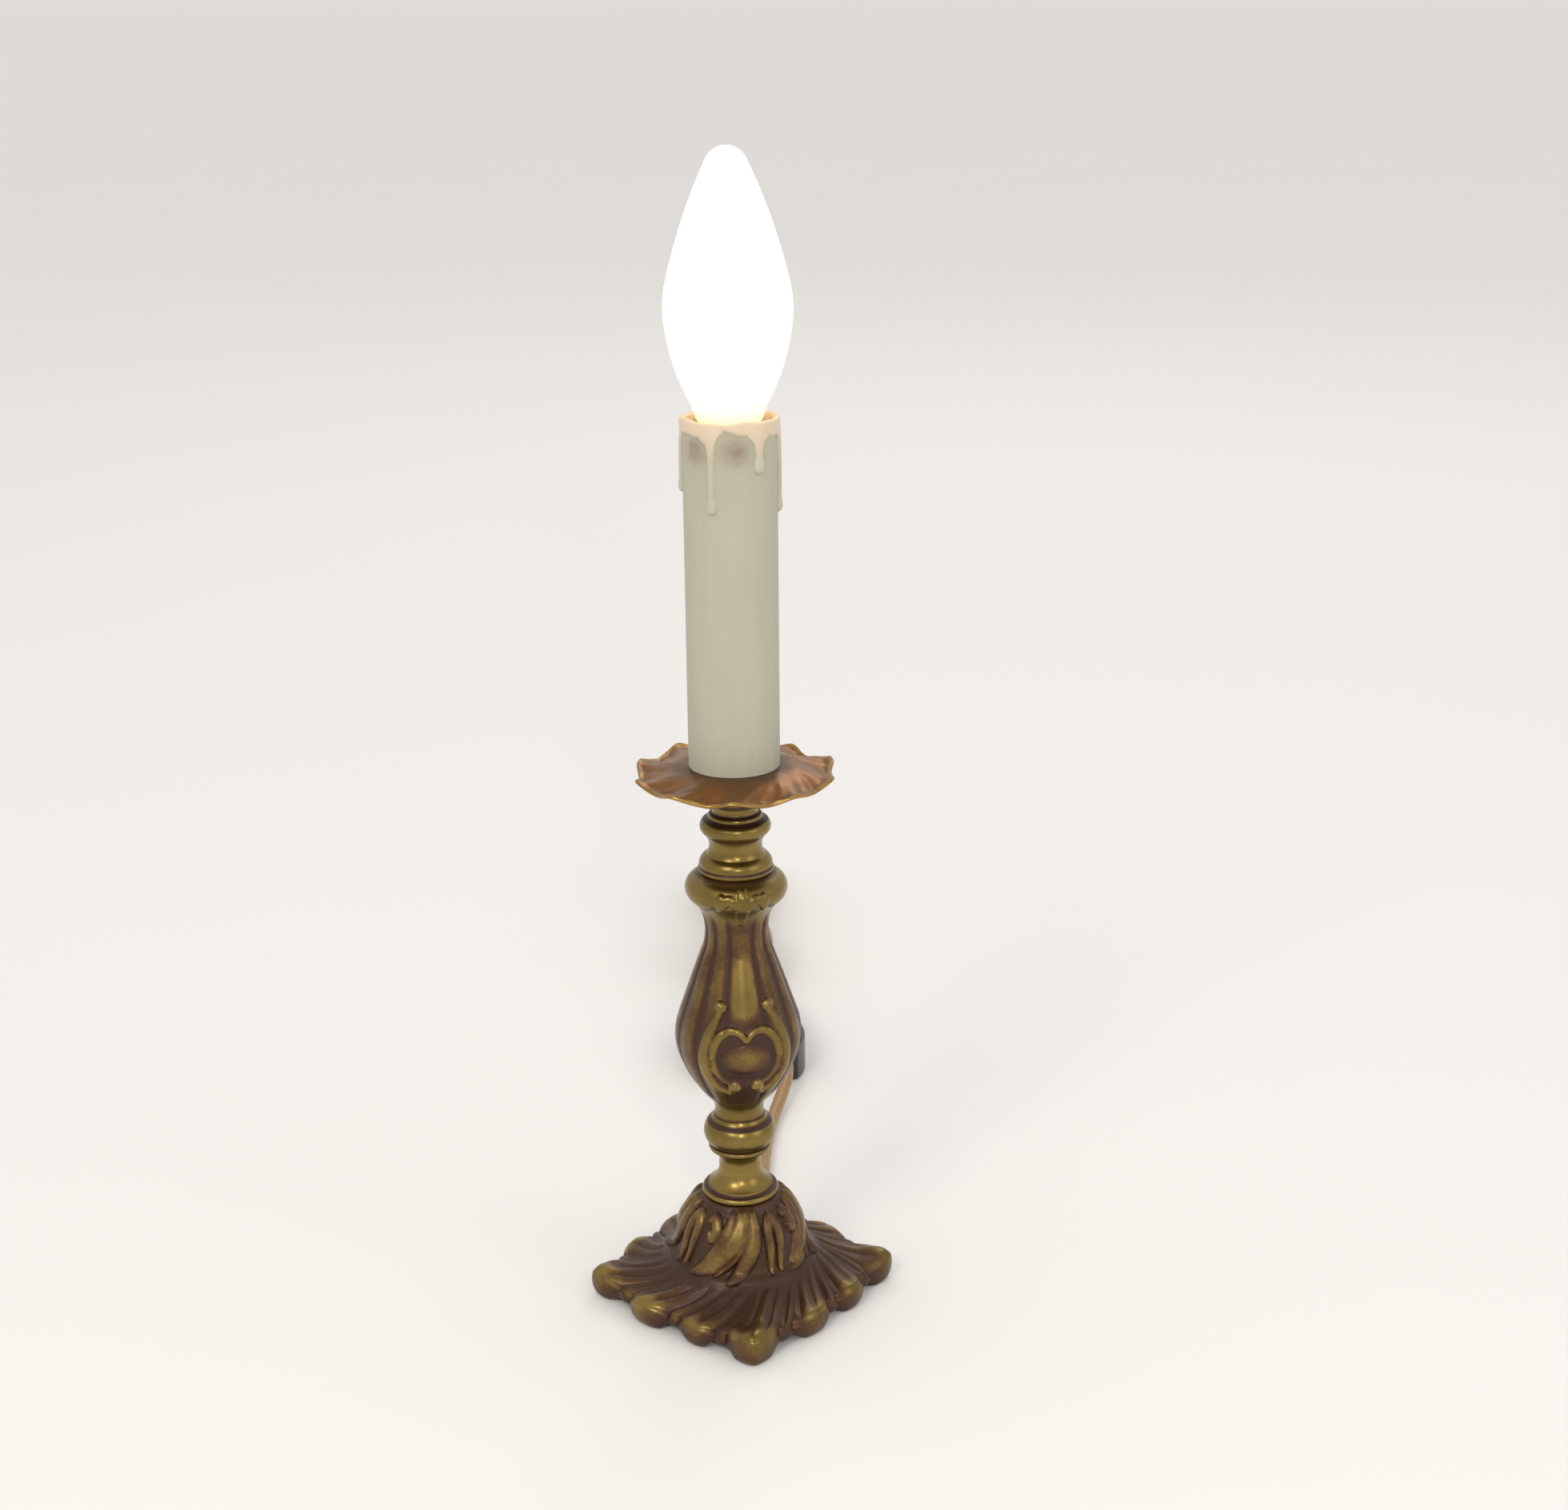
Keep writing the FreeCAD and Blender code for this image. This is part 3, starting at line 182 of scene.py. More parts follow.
class Finish:
    """The node tree of a material or a world."""

    def __init__(self, owner):
        self.owner = bpy.data.materials.new(owner) if isinstance(owner, str) else owner
        self.owner.use_nodes = True
        self.tree = self.owner.node_tree
        self.tree.nodes.clear()

    def add(self, kind, settings=None, inputs=None):
        """Any node: its type, its settings, then the values or links of its sockets."""
        node = self.tree.nodes.new(kind)
        for key, value in (settings or {}).items():
            setattr(node, key, value)
        for key, value in (inputs or {}).items():
            socket = socket_named(node.inputs, key)
            if isinstance(value, Value):
                self.tree.links.new(value.socket, socket)
            elif socket.type == "RGBA" and len(value) == 3:
                socket.default_value = (*value, 1.0)
            else:
                socket.default_value = value
        return Outputs(self, node)

    def mix(self, factor, a, b):
        inputs = {"Factor": factor, "A": a, "B": b}
        return self.add("ShaderNodeMix", {"data_type": "RGBA"}, inputs)["Result"]

    def place(self):
        return self.add("ShaderNodeTexCoord")["Object"]

    def along(self, axis):
        """One coordinate of the place on the piece, in metres."""
        return self.add("ShaderNodeSeparateXYZ", None, {"Vector": self.place()})[axis]

    def stretched(self, scale):
        """The place on the piece, scaled along its axes."""
        inputs = {0: self.place(), 1: scale}
        return self.add("ShaderNodeVectorMath", {"operation": "MULTIPLY"}, inputs)["Vector"]

    def noise(self, scale, detail=4.0, rough=0.6, vector=None):
        inputs = {"Vector": vector or self.place(), "Scale": scale, "Detail": detail, "Roughness": rough}
        return self.add("ShaderNodeTexNoise", None, inputs)["Fac"]

    def cells(self, scale):
        inputs = {"Vector": self.place(), "Scale": scale}
        return self.add("ShaderNodeTexVoronoi", None, inputs)["Distance"]

    def stored(self, name):
        """A number that is kept on the piece's points."""
        return self.add("ShaderNodeAttribute", {"attribute_name": name})["Fac"]

    def bump(self, height, distance, strength):
        inputs = {"Height": height, "Distance": distance, "Strength": strength}
        return self.add("ShaderNodeBump", None, inputs)["Normal"]

    def surface(self, **inputs):
        """The surface shader, with sockets named in words joined by underscores."""
        named = {key.replace("_", " ").title(): value for key, value in inputs.items()}
        shader = self.add("ShaderNodeBsdfPrincipled", None, named)
        self.add("ShaderNodeOutputMaterial", None, {"Surface": shader["BSDF"]})
        return self.owner


# Finishes. Heights are in metres, a noise's scale in features per metre.
GROOVE_CORE = 0.25
WORN_AND_PAINTED_LIGHT_RANGE = (0.08, 0.92)
TARNISH_RANGE = (0.38, 0.68)
METAL_RANGE = (0.30, 0.95)
OLIVE_SHARES = (0.62, 0.6386, 0.558)
BROWN_GAIN = 2.2
WAX_RANGE = (0.08, 0.5)
WAX_FADE = (0.020, 0.004)
WARM_DROP = 0.014
STREAKS = (260.0, 260.0, 22.0)
GRIME = (0.35, 0.325, 0.235)
WARM_WAX = (0.68, 0.54, 0.38)
SOOT = (0.20, 0.11, 0.06)
NECK_HEIGHTS = (0.004, 0.020)
NECK_GLOW = (1.0, 0.72, 0.36)
CLOUD_GLOW = (1.0, 0.86, 0.60)
OPAL = (0.60, 0.56, 0.48)
BRUSH = (900.0, 900.0, 60.0)


def shaded(colour, share):
    return tuple(share * c for c in colour)


def turned_relief(f, grooves):
    """How rubbed a turned piece is: not at all in its grooves, given by height and half width."""
    height = f.along("Z")
    relief = 1.0
    for z, half in grooves:
        relief = abs(height - z).step(half * GROOVE_CORE, half) * relief
    return relief


def aged_brass(name, colours, bright, grooves=(), bias=0.0, edge=None):
    """Brass with brown patina in its recesses, from the relief kept on the piece or from turned grooves; the
    painted shade and painted highlights kept in some relief carry into its colour, and an edge colour, where
    given, paints the rim brighter, as wear with a painted highlight.
    """
    f = Finish(name)
    relief = turned_relief(f, grooves) if grooves else f.stored("relief")
    blotch = f.noise(scale=130.0, detail=5.0, rough=0.62)
    speckle = f.noise(scale=900.0, detail=3.0)
    grain = f.noise(scale=2600.0, detail=2.0, rough=0.5)
    # mask of brass bright from wear, which also carries the painted shade and painted highlights kept in the
    # relief
    worn_and_painted_light = (relief + blotch.sway(0.7) + speckle.sway(0.25) + bias).step(*WORN_AND_PAINTED_LIGHT_RANGE)
    tarnish = f.noise(scale=38.0).step(*TARNISH_RANGE)
    metal = f.mix(tarnish, bright, tuple(share * c for share, c in zip(OLIVE_SHARES, bright)))
    brown = f.mix((worn_and_painted_light * BROWN_GAIN).clamped(), colours.patina, colours.tarnish)
    base = f.mix(worn_and_painted_light.step(*METAL_RANGE), brown, metal)
    if edge:
        # the rim is painted brighter than the brass: wear with a painted highlight
        rubbed_and_painted_highlight = f.stored("edge") * (blotch * 1.6 - 0.15)
        base = f.mix(rubbed_and_painted_highlight.clamped(), base, edge)
    normal = f.bump(speckle * 0.6 + grain * 0.4, distance=0.00012, strength=0.35)
    return f.surface(base_color=base, metallic=0.55 + worn_and_painted_light * 0.42, normal=normal,
                     roughness=0.50 - worn_and_painted_light * 0.20 + speckle.sway(0.14), coat_weight=0.2, coat_roughness=0.25)


def sleeve_wax(name, colours):
    """Aged card sleeve, lighter glossy wax where the relief stands up, scorched under the collar."""
    f = Finish(name)
    height = f.along("Z")
    raised = f.stored("relief").step(*WAX_RANGE)
    streak = f.noise(scale=1.0, vector=f.stretched(STREAKS))
    blotch = f.noise(scale=55.0)
    smoke = f.noise(scale=300.0, rough=0.65)
    grain = f.noise(scale=1400.0, detail=3.0)
    wax = raised * (0.45 + 0.55 * height.step(SLEEVE_TOP - WAX_FADE[0], SLEEVE_TOP - WAX_FADE[1]))
    card = f.mix(streak.step(0.3, 0.75) * 0.5, colours.candle, shaded(colours.candle, 0.90))
    card = f.mix((blotch - 0.35).clamped() * 0.6, card, GRIME)
    warm = f.mix(height.step(SLEEVE_TOP - WARM_DROP, SLEEVE_TOP), colours.wax, WARM_WAX)
    scorch = f.stored("scorch") * (smoke * 1.7 - 0.10) * (1.0 - wax * 0.5)
    base = f.mix(scorch.clamped() * 0.75, f.mix(wax, card, warm), SOOT)
    return f.surface(base_color=base, roughness=0.62 - raised * 0.26 + grain.sway(0.1),
                     normal=f.bump(grain + streak * 0.4, distance=0.00010, strength=0.3))


def lit_opal(name, colours):
    """Opal glass of a lit bulb, yellower towards its neck."""
    f = Finish(name)
    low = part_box("bulb_glass")[0][2]
    neck = f.along("Z").step(low + NECK_HEIGHTS[0], low + NECK_HEIGHTS[1])
    cloud = f.noise(scale=60.0, detail=3.0, rough=0.55)
    light = f.mix(cloud * 0.05, f.mix(neck, NECK_GLOW, colours.glow), CLOUD_GLOW)
    return f.surface(base_color=OPAL, roughness=0.22, emission_color=light,
                     emission_strength=colours.glow_strength, coat_weight=0.4)


def bright_metal(name, base, dull):
    """Plated or stamped metal with drawn lines and faint stains."""
    f = Finish(name)
    lines = f.noise(scale=1.0, detail=3.0, vector=f.stretched(BRUSH))
    stain = f.noise(scale=90.0).step(0.45, 0.75)
    return f.surface(base_color=f.mix(stain * 0.5, base, shaded(base, 0.6)), metallic=1.0,
                     roughness=dull + lines.sway(0.16) + stain * 0.12,
                     normal=f.bump(lines, distance=0.00008, strength=0.25))


def moulded(name, base, rough):
    """Moulded plastic with a fine grain, dust in the hollows and soft flow marks."""
    f = Finish(name)
    grain = f.cells(scale=1500.0)
    flow = f.noise(scale=45.0, detail=3.0, rough=0.5)
    dust = f.noise(scale=160.0, rough=0.65).step(0.52, 0.82)
    lighter = tuple(min(1.0, 1.5 * c + 0.02) for c in base)
    return f.surface(base_color=f.mix(flow * 0.35 + dust * 0.25, base, lighter),
                     roughness=rough + flow.sway(0.18) + dust * 0.15,
                     normal=f.bump(grain, distance=0.00006, strength=0.35))


def cord_sheath(name, base):
    """Glossy gold-brown sheath with drawn flow lines and a few scuffs."""
    f = Finish(name)
    flow = f.noise(scale=240.0)
    scuff = f.noise(scale=700.0, detail=3.0).step(0.6, 0.8)
    drawn = f.mix(flow, base, shaded(base, 1.45))
    return f.surface(base_color=f.mix(scuff * 0.4, drawn, shaded(base, 0.6)), roughness=0.34 + scuff * 0.2,
                     coat_weight=0.15, normal=f.bump(flow, distance=0.00010, strength=0.3))


def pale_table(name, base):
    """Plain pale table with the faintest weave."""
    f = Finish(name)
    cloud = f.noise(scale=3.0, detail=3.0, rough=0.5)
    shade = f.mix(cloud * 0.25, base, shaded(base, 0.95))
    return f.surface(base_color=shade, roughness=0.85 + cloud.sway(0.05))


# Mesh pieces
SHARP_DEG = 62.0
ROUTE_STEPS = 8


def grid_piece(name, points, fields, body, material):
    """Mesh from rows of points, closed round its columns and from the last row to the first."""
    rows, columns = points.shape[:2]
    index = np.arange(rows * columns).reshape(rows, columns)
    beside = np.roll(index, -1, axis=1)
    above, above_beside = np.roll(index, -1, axis=0), np.roll(beside, -1, axis=0)
    faces = np.stack([index, beside, above_beside, above], axis=-1).reshape(-1, 4)
    flat = points.reshape(-1, 3)
    a, b, c = flat[faces[:, 0]], flat[faces[:, 1]], flat[faces[:, 2]]
    if np.einsum("ij,ij->i", a, np.cross(b, c)).sum() < 0:
        faces = faces[:, ::-1]
    mesh = bpy.data.meshes.new(name)
    mesh.from_pydata((flat * MM).tolist(), [], faces.tolist())
    for field, values in fields.items():
        store = mesh.attributes.new(field, "FLOAT", "POINT")
        store.data.foreach_set("value", np.ascontiguousarray(values, dtype=np.float32).ravel())
    mesh.shade_smooth()
    mesh.set_sharp_from_angle(angle=SHARP_DEG * DEG)
    mesh.materials.append(material)
    piece = bpy.data.objects.new(name, mesh)
    bpy.context.scene.collection.objects.link(piece)
    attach(piece, body)
    return piece


def arc_rows(start, arcs, steps):
    """Points along three-point arcs one after another, as radius and height."""
    rows = [start]
    here = np.array(start, float)
    for mid_r, mid_z, end_r, end_z in arcs:
        mid, end = np.array([mid_r, mid_z]), np.array([end_r, end_z])
        chords = np.array([mid - here, end - here])
        centre = np.linalg.solve(2 * chords, [mid @ mid - here @ here, end @ end - here @ here])
        angles = [math.atan2(*(p - centre)[::-1]) for p in (here, mid, end)]
        sweep = wrapped(angles[1] - angles[0], TURN) + wrapped(angles[2] - angles[1], TURN)
        radius = np.linalg.norm(here - centre)
        for i in range(1, steps + 1):
            turn = angles[0] + sweep * i / steps
            rows.append((centre[0] + radius * math.cos(turn), centre[1] + radius * math.sin(turn)))
        here = end
    return np.array(rows)


def even_rows(rows, spacing):
    """Rows a given distance apart along the same outline."""
    lengths = np.concatenate([[0], np.cumsum(np.linalg.norm(np.diff(rows, axis=0), axis=1))])
    count = max(2, int(lengths[-1] / spacing))
    at = np.linspace(0, lengths[-1], count + 1)
    return np.stack([np.interp(at, lengths, rows[:, 0]), np.interp(at, lengths, rows[:, 1])], axis=1)


def smooth_rows(knots, per_span):
    """Catmull-Rom curve through knots."""
    k = np.array(knots, float)
    k = np.vstack([2 * k[0] - k[1], k, 2 * k[-1] - k[-2]])
    rows = []
    for i in range(1, len(k) - 2):
        for j in range(per_span):
            t = j / per_span
            rows.append(0.5 * (2 * k[i] + (k[i + 1] - k[i - 1]) * t
                               + (2 * k[i - 1] - 5 * k[i] + 4 * k[i + 1] - k[i + 2]) * t ** 2
                               + (3 * k[i] - k[i - 1] - 3 * k[i + 1] + k[i + 2]) * t ** 3))
    rows.append(k[-2])
    return np.array(rows)


def outward(rows):
    """Unit normals of an outline that runs upwards, pointing away from the axis."""
    along = np.gradient(rows, axis=0)
    along /= np.linalg.norm(along, axis=1)[:, None]
    return np.stack([along[:, 1], -along[:, 0]], axis=1)


def wrapped(value, period):
    """Value moved by whole periods to the one round 0."""
    return (value + period / 2) % period - period / 2


def smoothstep(low, high, x):
    t = np.clip((x - low) / (high - low), 0, 1)
    return t * t * (3 - 2 * t)


def band(edges, x):
    """1 between the inner two of four edges, falling to 0 at the outer two."""
    low, full_from, full_to, high = edges
    return smoothstep(low, full_from, x) * smoothstep(high, full_to, x)


def waves(angle, table, shape=np.cos):
    """Sum of waves, each with its number round the axis, its size and its phase."""
    return sum(size * shape(count * angle + phase) for count, size, phase in table)


def route_distance(x, y, knots, taper):
    """Distance to a smooth route, divided by its width share where the ends are drawn thinner."""
    route = smooth_rows(knots, ROUTE_STEPS)
    best = np.full(x.shape, np.inf)
    spans = len(route) - 1
    for i in range(spans):
        a, b = route[i], route[i + 1]
        ab = b - a
        t = np.clip(((x - a[0]) * ab[0] + (y - a[1]) * ab[1]) / (ab @ ab), 0, 1)
        distance = np.hypot(x - a[0] - t * ab[0], y - a[1] - t * ab[1])
        share = 1 - taper * (2 * (i + t) / spans - 1) ** 2
        best = np.minimum(best, distance / share)
    return best


def bead(distance, width, height):
    """Height of a round bead over the surface."""
    return height * np.sqrt(np.clip(1 - (distance / width) ** 2, 0, 1))


def beads_along(x, y, lines):
    """Height of the beads along routes, of which each has its taper, half width and height."""
    return np.max([bead(route_distance(x, y, *line[:2]), *line[2:]) for line in lines], axis=0)


class Rings:
    """Closed rows of points round the axis, in mm, with the marks that are kept on them."""

    def __init__(self, columns):
        self.angle = np.arange(columns) * TURN / columns
        self.degrees = np.degrees(self.angle)
        self.rows = []
        self.marks = []

    def add(self, radius, height, *marks):
        x = radius * np.cos(self.angle)
        y = radius * np.sin(self.angle)
        self.rows.append(np.stack([x, y, height + 0 * x], axis=-1))
        self.marks.append([mark + 0 * x for mark in marks])

    def arrays(self):
        """The points, then an array for each kind of mark."""
        return np.array(self.rows), *np.array(self.marks).swapaxes(0, 1)


# Foot, in mm. Relief marks go from 0, brown patina in a recess, to 1, bright from wear on a crest; low on
# the dome and where the border's edge turns under, they also carry painted shade.
TUBE_HOLE_R = 5.15
FOOT_COLUMNS = 720
QUARTER_DEG = 90.0
SEAT_RADII = (TUBE_HOLE_R, 8.0, 10.6)
SEAT_MARK = 0.4

# Dome of the foot: its outline, then the leaf ridges over a ground that lies lower by RIDGE_SET
DOME_KNOTS = [(11.3, 33.0), (14.7, 30.7), (17.2, 27.0), (18.9, 23.0), (19.7, 19.2), (20.7, 15.9),
              (22.6, 13.0)]
DOME_STEPS = 12
DOME_SPACING = 0.42
DOME_TOP_FADE = (32.9, 31.4)
# How low on the dome its mark darkens: patina there, with painted shade where the dome meets the plate
DOME_LOW_FADE = (16.5, 13.2)
DOME_MARK = 0.24
DOME_LOW_PAINTED_SHADE = 0.35
RIDGE_SET = 1.15
# angle from the toe and height along each ridge, its taper, half width and height, repeated by quarters
DOME_RIDGES = [
    ([(-2.0, 31.6), (-5.0, 28.2), (-13.0, 23.4), (-27.0, 18.6), (-42.0, 15.4)], 0.5, 3.6, 1.75),
    ([(11.0, 31.8), (10.0, 27.4), (6.0, 22.0), (-3.0, 17.0), (-13.0, 13.6)], 0.5, 2.7, 1.5),
    ([(22.0, 15.4), (24.0, 21.0), (25.0, 27.2), (30.5, 29.8), (36.0, 27.4), (35.0, 21.8), (31.0, 15.6)],
     0.5, 1.9, 1.4),
    ([(5.0, 31.8), (3.0, 28.0), (-3.0, 22.8), (-13.5, 18.2), (-26.0, 14.8)], 0.5, 1.0, 1.2),
    ([(50.0, 29.6), (55.5, 30.2), (59.0, 27.6), (56.0, 25.0), (52.5, 26.4)], 0.5, 1.9, 1.4),
    ([(76.0, 31.4), (72.0, 27.6), (66.0, 23.2), (56.0, 18.8), (44.0, 14.6)], 0.5, 2.3, 1.3),
]

# Border and plate of the foot; heights of the plate go by the share of the way out to the border
BORDER_POWER = 1.25
TOE_REACH = 1.3
TOE_REACH_DEG = 9.0
TOE_RISE = 1.3
TOE_RISE_DEG = 8.0
LOBES = 12
LOBE_SHARE = 0.80
LOBE_POWER = 0.72
LOBE_SHIFT_DEG = 4.0
LOBE_MIDDLE = 0.45
LOBE_SET = 0.55
SMALL_LOBE = 0.42
SMALL_LOBE_SHARE = 0.24
# number of waves round the border, size and phase of the lobes' unevenness
LOBE_WAVES = ((5, 0.11, 1.1), (7, 0.07, -0.6))
PLATE_KNOTS = [(0.00, 13.0), (0.10, 11.5), (0.25, 10.0), (0.45, 8.7), (0.68, 7.8), (0.86, 7.3), (0.95, 6.9),
               (1.0, 5.8)]
PLATE_STEPS = 14
PLATE_FADE = (0.0, 0.22)
TIP_FADE = (0.70, 1.0)
TOE_FADE = (0.62, 0.9)
SWIRL_DEG = 18.0
SWIRL_POWER = 1.4
FLUTE_START = 0.35
FLUTE_GROWTH = 0.75
FINE_FLUTES = 36
FINE_HEIGHT = 0.70
FINE_FADE = 0.75
PLATE_MARK = 0.14
PLATE_MARK_OUT = 0.12
LOBE_MARK = 0.24
FINE_MARK = 0.26
FINE_SHADE = 0.154
TIP_MARK = 0.34
EDGE_SHARE = 1.1
# Marks of the border's edge: base, gain on the lobes, and the change as it turns under, which darkens it as
# painted shade
EDGE_MARKS = (0.22, 0.48, -0.38)
EDGE_STEPS = 14
EDGE_FROM = 0.1
EDGE_BULGE = 0.9
EDGE_TUCK = 1.6
RIM_LIFT = 0.3
GAP_LIFT = 2.3
GAP_FADE = (0.35, 0.85)
# share of the border and height of the rim underneath, then radius and height of the hollow
FOOT_RIM = [(0.86, 0.0), (0.80, 4.4)]
HOLLOW_CONE = [(22.15, 4.4), (12.0, 27.0), (TUBE_HOLE_R, 27.0)]
EXIT_DEG = 78.75
NOTCH_R = 3.25
NOTCH_Z = 3.2
NOTCH_FROM = 24.0


def off_toe(degrees, spread):
    """1 on the line of a toe, falling to 0 beside it."""
    return np.exp(-(wrapped(degrees, QUARTER_DEG) / spread) ** 2)


def border_radius(rings, corner_r):
    c = np.abs(np.cos(rings.angle)) ** BORDER_POWER
    s = np.abs(np.sin(rings.angle)) ** BORDER_POWER
    return corner_r / (c + s) ** (1 / BORDER_POWER) + TOE_REACH * off_toe(rings.degrees, TOE_REACH_DEG)


def lobes(angle):
    """Scallops of the border: broad bulbs, drawn away from each toe, with a small one in each gap."""
    shifted = angle - LOBE_SHIFT_DEG * DEG * (1 - np.cos(4 * angle)) / 2
    off = np.abs(wrapped(np.degrees(shifted), 360.0 / LOBES)) * LOBES / 180.0
    large = np.clip(1 - (off / LOBE_SHARE) ** 2, 0, 1) ** LOBE_POWER
    small = bead(1 - off, SMALL_LOBE_SHARE, SMALL_LOBE)
    return np.maximum(large, small) * (1 + waves(angle, LOBE_WAVES))


def ridge_height(degrees, r, z):
    """Height of the leaf ridges round the dome at one level."""
    around = wrapped(degrees + QUARTER_DEG, QUARTER_DEG)
    spread = [([(a * DEG * r, h) for a, h in knots], *sizes) for knots, *sizes in DOME_RIDGES]
    height = np.zeros_like(degrees)
    for quarter in range(-1, 2):
        across = (around + QUARTER_DEG * quarter) * DEG * r
        height = np.maximum(height, beads_along(across, z, spread))
    return height * smoothstep(*DOME_TOP_FADE, z)


def add_dome(rings):
    """The dome from its seat down; gives the radius at its foot."""
    dome = even_rows(smooth_rows(DOME_KNOTS, DOME_STEPS), DOME_SPACING)
    normal = outward(dome[::-1])[::-1]
    for r in SEAT_RADII:
        rings.add(r, DOME_KNOTS[0][1], SEAT_MARK)
    for (r, z), (nr, nz) in zip(dome, normal):
        height = ridge_height(rings.degrees, r, z)
        low = smoothstep(*DOME_LOW_FADE, z)
        # darker low on the dome: patina with painted shade
        mark = np.clip(DOME_MARK * (1 + height), 0, 1) * (1 - DOME_LOW_PAINTED_SHADE * low)
        height -= RIDGE_SET * smoothstep(*DOME_TOP_FADE, z) * (1 - low)
        rings.add(r + nr * height, z + nz * height, mark)
    return dome[-1, 0]


def add_plate(rings, start_r, border, depth, reach):
    """The plate, with flutes that swirl outwards and grow into the border's lobes."""
    for share, z in smooth_rows(PLATE_KNOTS, PLATE_STEPS)[1:]:
        turned = rings.angle - SWIRL_DEG * DEG * (1 - share) ** SWIRL_POWER
        lobe = lobes(turned)
        fine = np.abs(np.cos(FINE_FLUTES / 2 * turned))
        env = smoothstep(*PLATE_FADE, share)
        tip = smoothstep(*TIP_FADE, share)
        z += depth * env * (FLUTE_START + FLUTE_GROWTH * share) * (lobe - LOBE_MIDDLE)
        z += FINE_HEIGHT * env * (1 - FINE_FADE * tip) * (fine - 0.5)
        z += TOE_RISE * off_toe(rings.degrees, TOE_RISE_DEG) * smoothstep(*TOE_FADE, share)
        r = start_r + share * (border - start_r) + reach * share ** 4 * (lobe - LOBE_SET)
        mark = PLATE_MARK + PLATE_MARK_OUT * share + TIP_MARK * tip * lobe ** 2
        mark += env * (LOBE_MARK * lobe * share + FINE_MARK * fine - FINE_SHADE)
        rings.add(r, z, np.clip(mark, 0, 1))


def add_edge(rings, border, depth, reach):
    """The rounded edge of the border, lifted off the table between the lobes, then rim and hollow."""
    lobe = lobes(rings.angle)
    edge_r = border + reach * (lobe - LOBE_SET)
    crest = PLATE_KNOTS[-1][1] + depth * EDGE_SHARE * (lobe - LOBE_MIDDLE)
    crest += TOE_RISE * off_toe(rings.degrees, TOE_RISE_DEG)
    lift = GAP_LIFT * (1 - smoothstep(*GAP_FADE, lobe))
    base, by_lobe, under_painted_shade = EDGE_MARKS
    # the edge darkens as it turns under: painted shade
    for t in np.linspace(EDGE_FROM, 1.0, EDGE_STEPS):
        z = lift + (crest - lift) * (1 + math.cos(math.pi * t)) / 2
        r = edge_r + EDGE_BULGE * math.sin(math.pi * t) - EDGE_TUCK * t ** 3
        rings.add(r, z, np.clip(base + by_lobe * lobe + under_painted_shade * t, 0, 1))
    rings.add((edge_r - EDGE_TUCK + FOOT_RIM[0][0] * border) / 2, RIM_LIFT * lift, 0.0)
    for share, z in FOOT_RIM:
        rings.add(share * border, z, 0.0)
    for r, z in HOLLOW_CONE:
        rings.add(r, z, 0.0)


def foot_grid(sizes):
    """Points of the foot from its seat over dome, plate and border to the hollow, with its relief."""
    depth = sizes.flute_depth / MM
    reach = sizes.lobe_reach / MM
    corner_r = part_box("base_foot")[1][0] / MM - TOE_REACH - (1 - LOBE_SET) * reach
    rings = Rings(FOOT_COLUMNS)
    border = border_radius(rings, corner_r)
    start_r = add_dome(rings)
    add_plate(rings, start_r, border, depth, reach)
    add_edge(rings, border, depth, reach)
    points, relief = rings.arrays()
    return cord_notch(points), relief


def cord_notch(points):
    """Lift the border's underside over the cord's way out at the back."""
    way = EXIT_DEG * DEG
    ahead = points[..., 0] * math.cos(way) + points[..., 1] * math.sin(way)
    aside = np.abs(points[..., 1] * math.cos(way) - points[..., 0] * math.sin(way))
    arch = NOTCH_Z + np.sqrt(np.clip(NOTCH_R ** 2 - aside ** 2, 0, None))
    under = (ahead > NOTCH_FROM) & (aside < NOTCH_R) & (points[..., 2] < arch)
    points[..., 2] = np.where(under, arch, points[..., 2])
    return points


# Vase, in mm: its outline as middle and end of one arc after another
VASE_COLUMNS = 420
VASE_START = (7.6, 59.0)
VASE_ARCS = [
    (7.3, 61.6, 9.2, 65.4),
    (13.4, 70.6, 16.9, 77.6),
    (18.75, 85.6, 17.4, 93.0),
    (14.2, 102.4, 10.8, 112.0),
    (9.35, 118.6, 10.2, 124.0),
    (11.3, 126.4, 13.4, 128.6),
    (14.9, 132.4, 12.8, 135.6),
]
VASE_TOP = (10.3, 136.8)
ARC_STEPS = 24
VASE_SPACING = 0.34
VASE_TOP_SPACING = 0.4
VASE_MARK = 0.80
VASE_END_MARK = 0.25
VASE_END_FADE = (0.0, 1.2)
VASE_TURN_DEG = 3.5

# Tongue panel in the middle of front and back, with reeds beside it
PANEL_DEG = 21.25
PANEL_RISE = 1.15
PANEL_ROUND = 0.75
PANEL_EDGE_DEG = 16.0
PANEL_EDGE_DROP = 0.5
PANEL_SHADE_DEG = 13.0
# The tongue panel's lower part is lighter: brass bright from wear, with a painted highlight
PANEL_PAINTED_HIGHLIGHT_DEG = 3.0
PANEL_MARK = 0.44
RUBBED_PAINTED_HIGHLIGHT_MARK = 0.52
RUBBED_PAINTED_HIGHLIGHT_BAND = (90.0, 101.0, 104.0, 119.0)
REED_STEP_DEG = 27.5
REED_POWER = 0.8
REED_MARK = 0.52
REED_BAND = (64.5, 70.0, 121.5, 127.0)
VALLEY_RANGE = (0.85, 0.1)
VALLEY_SHADE = 0.85

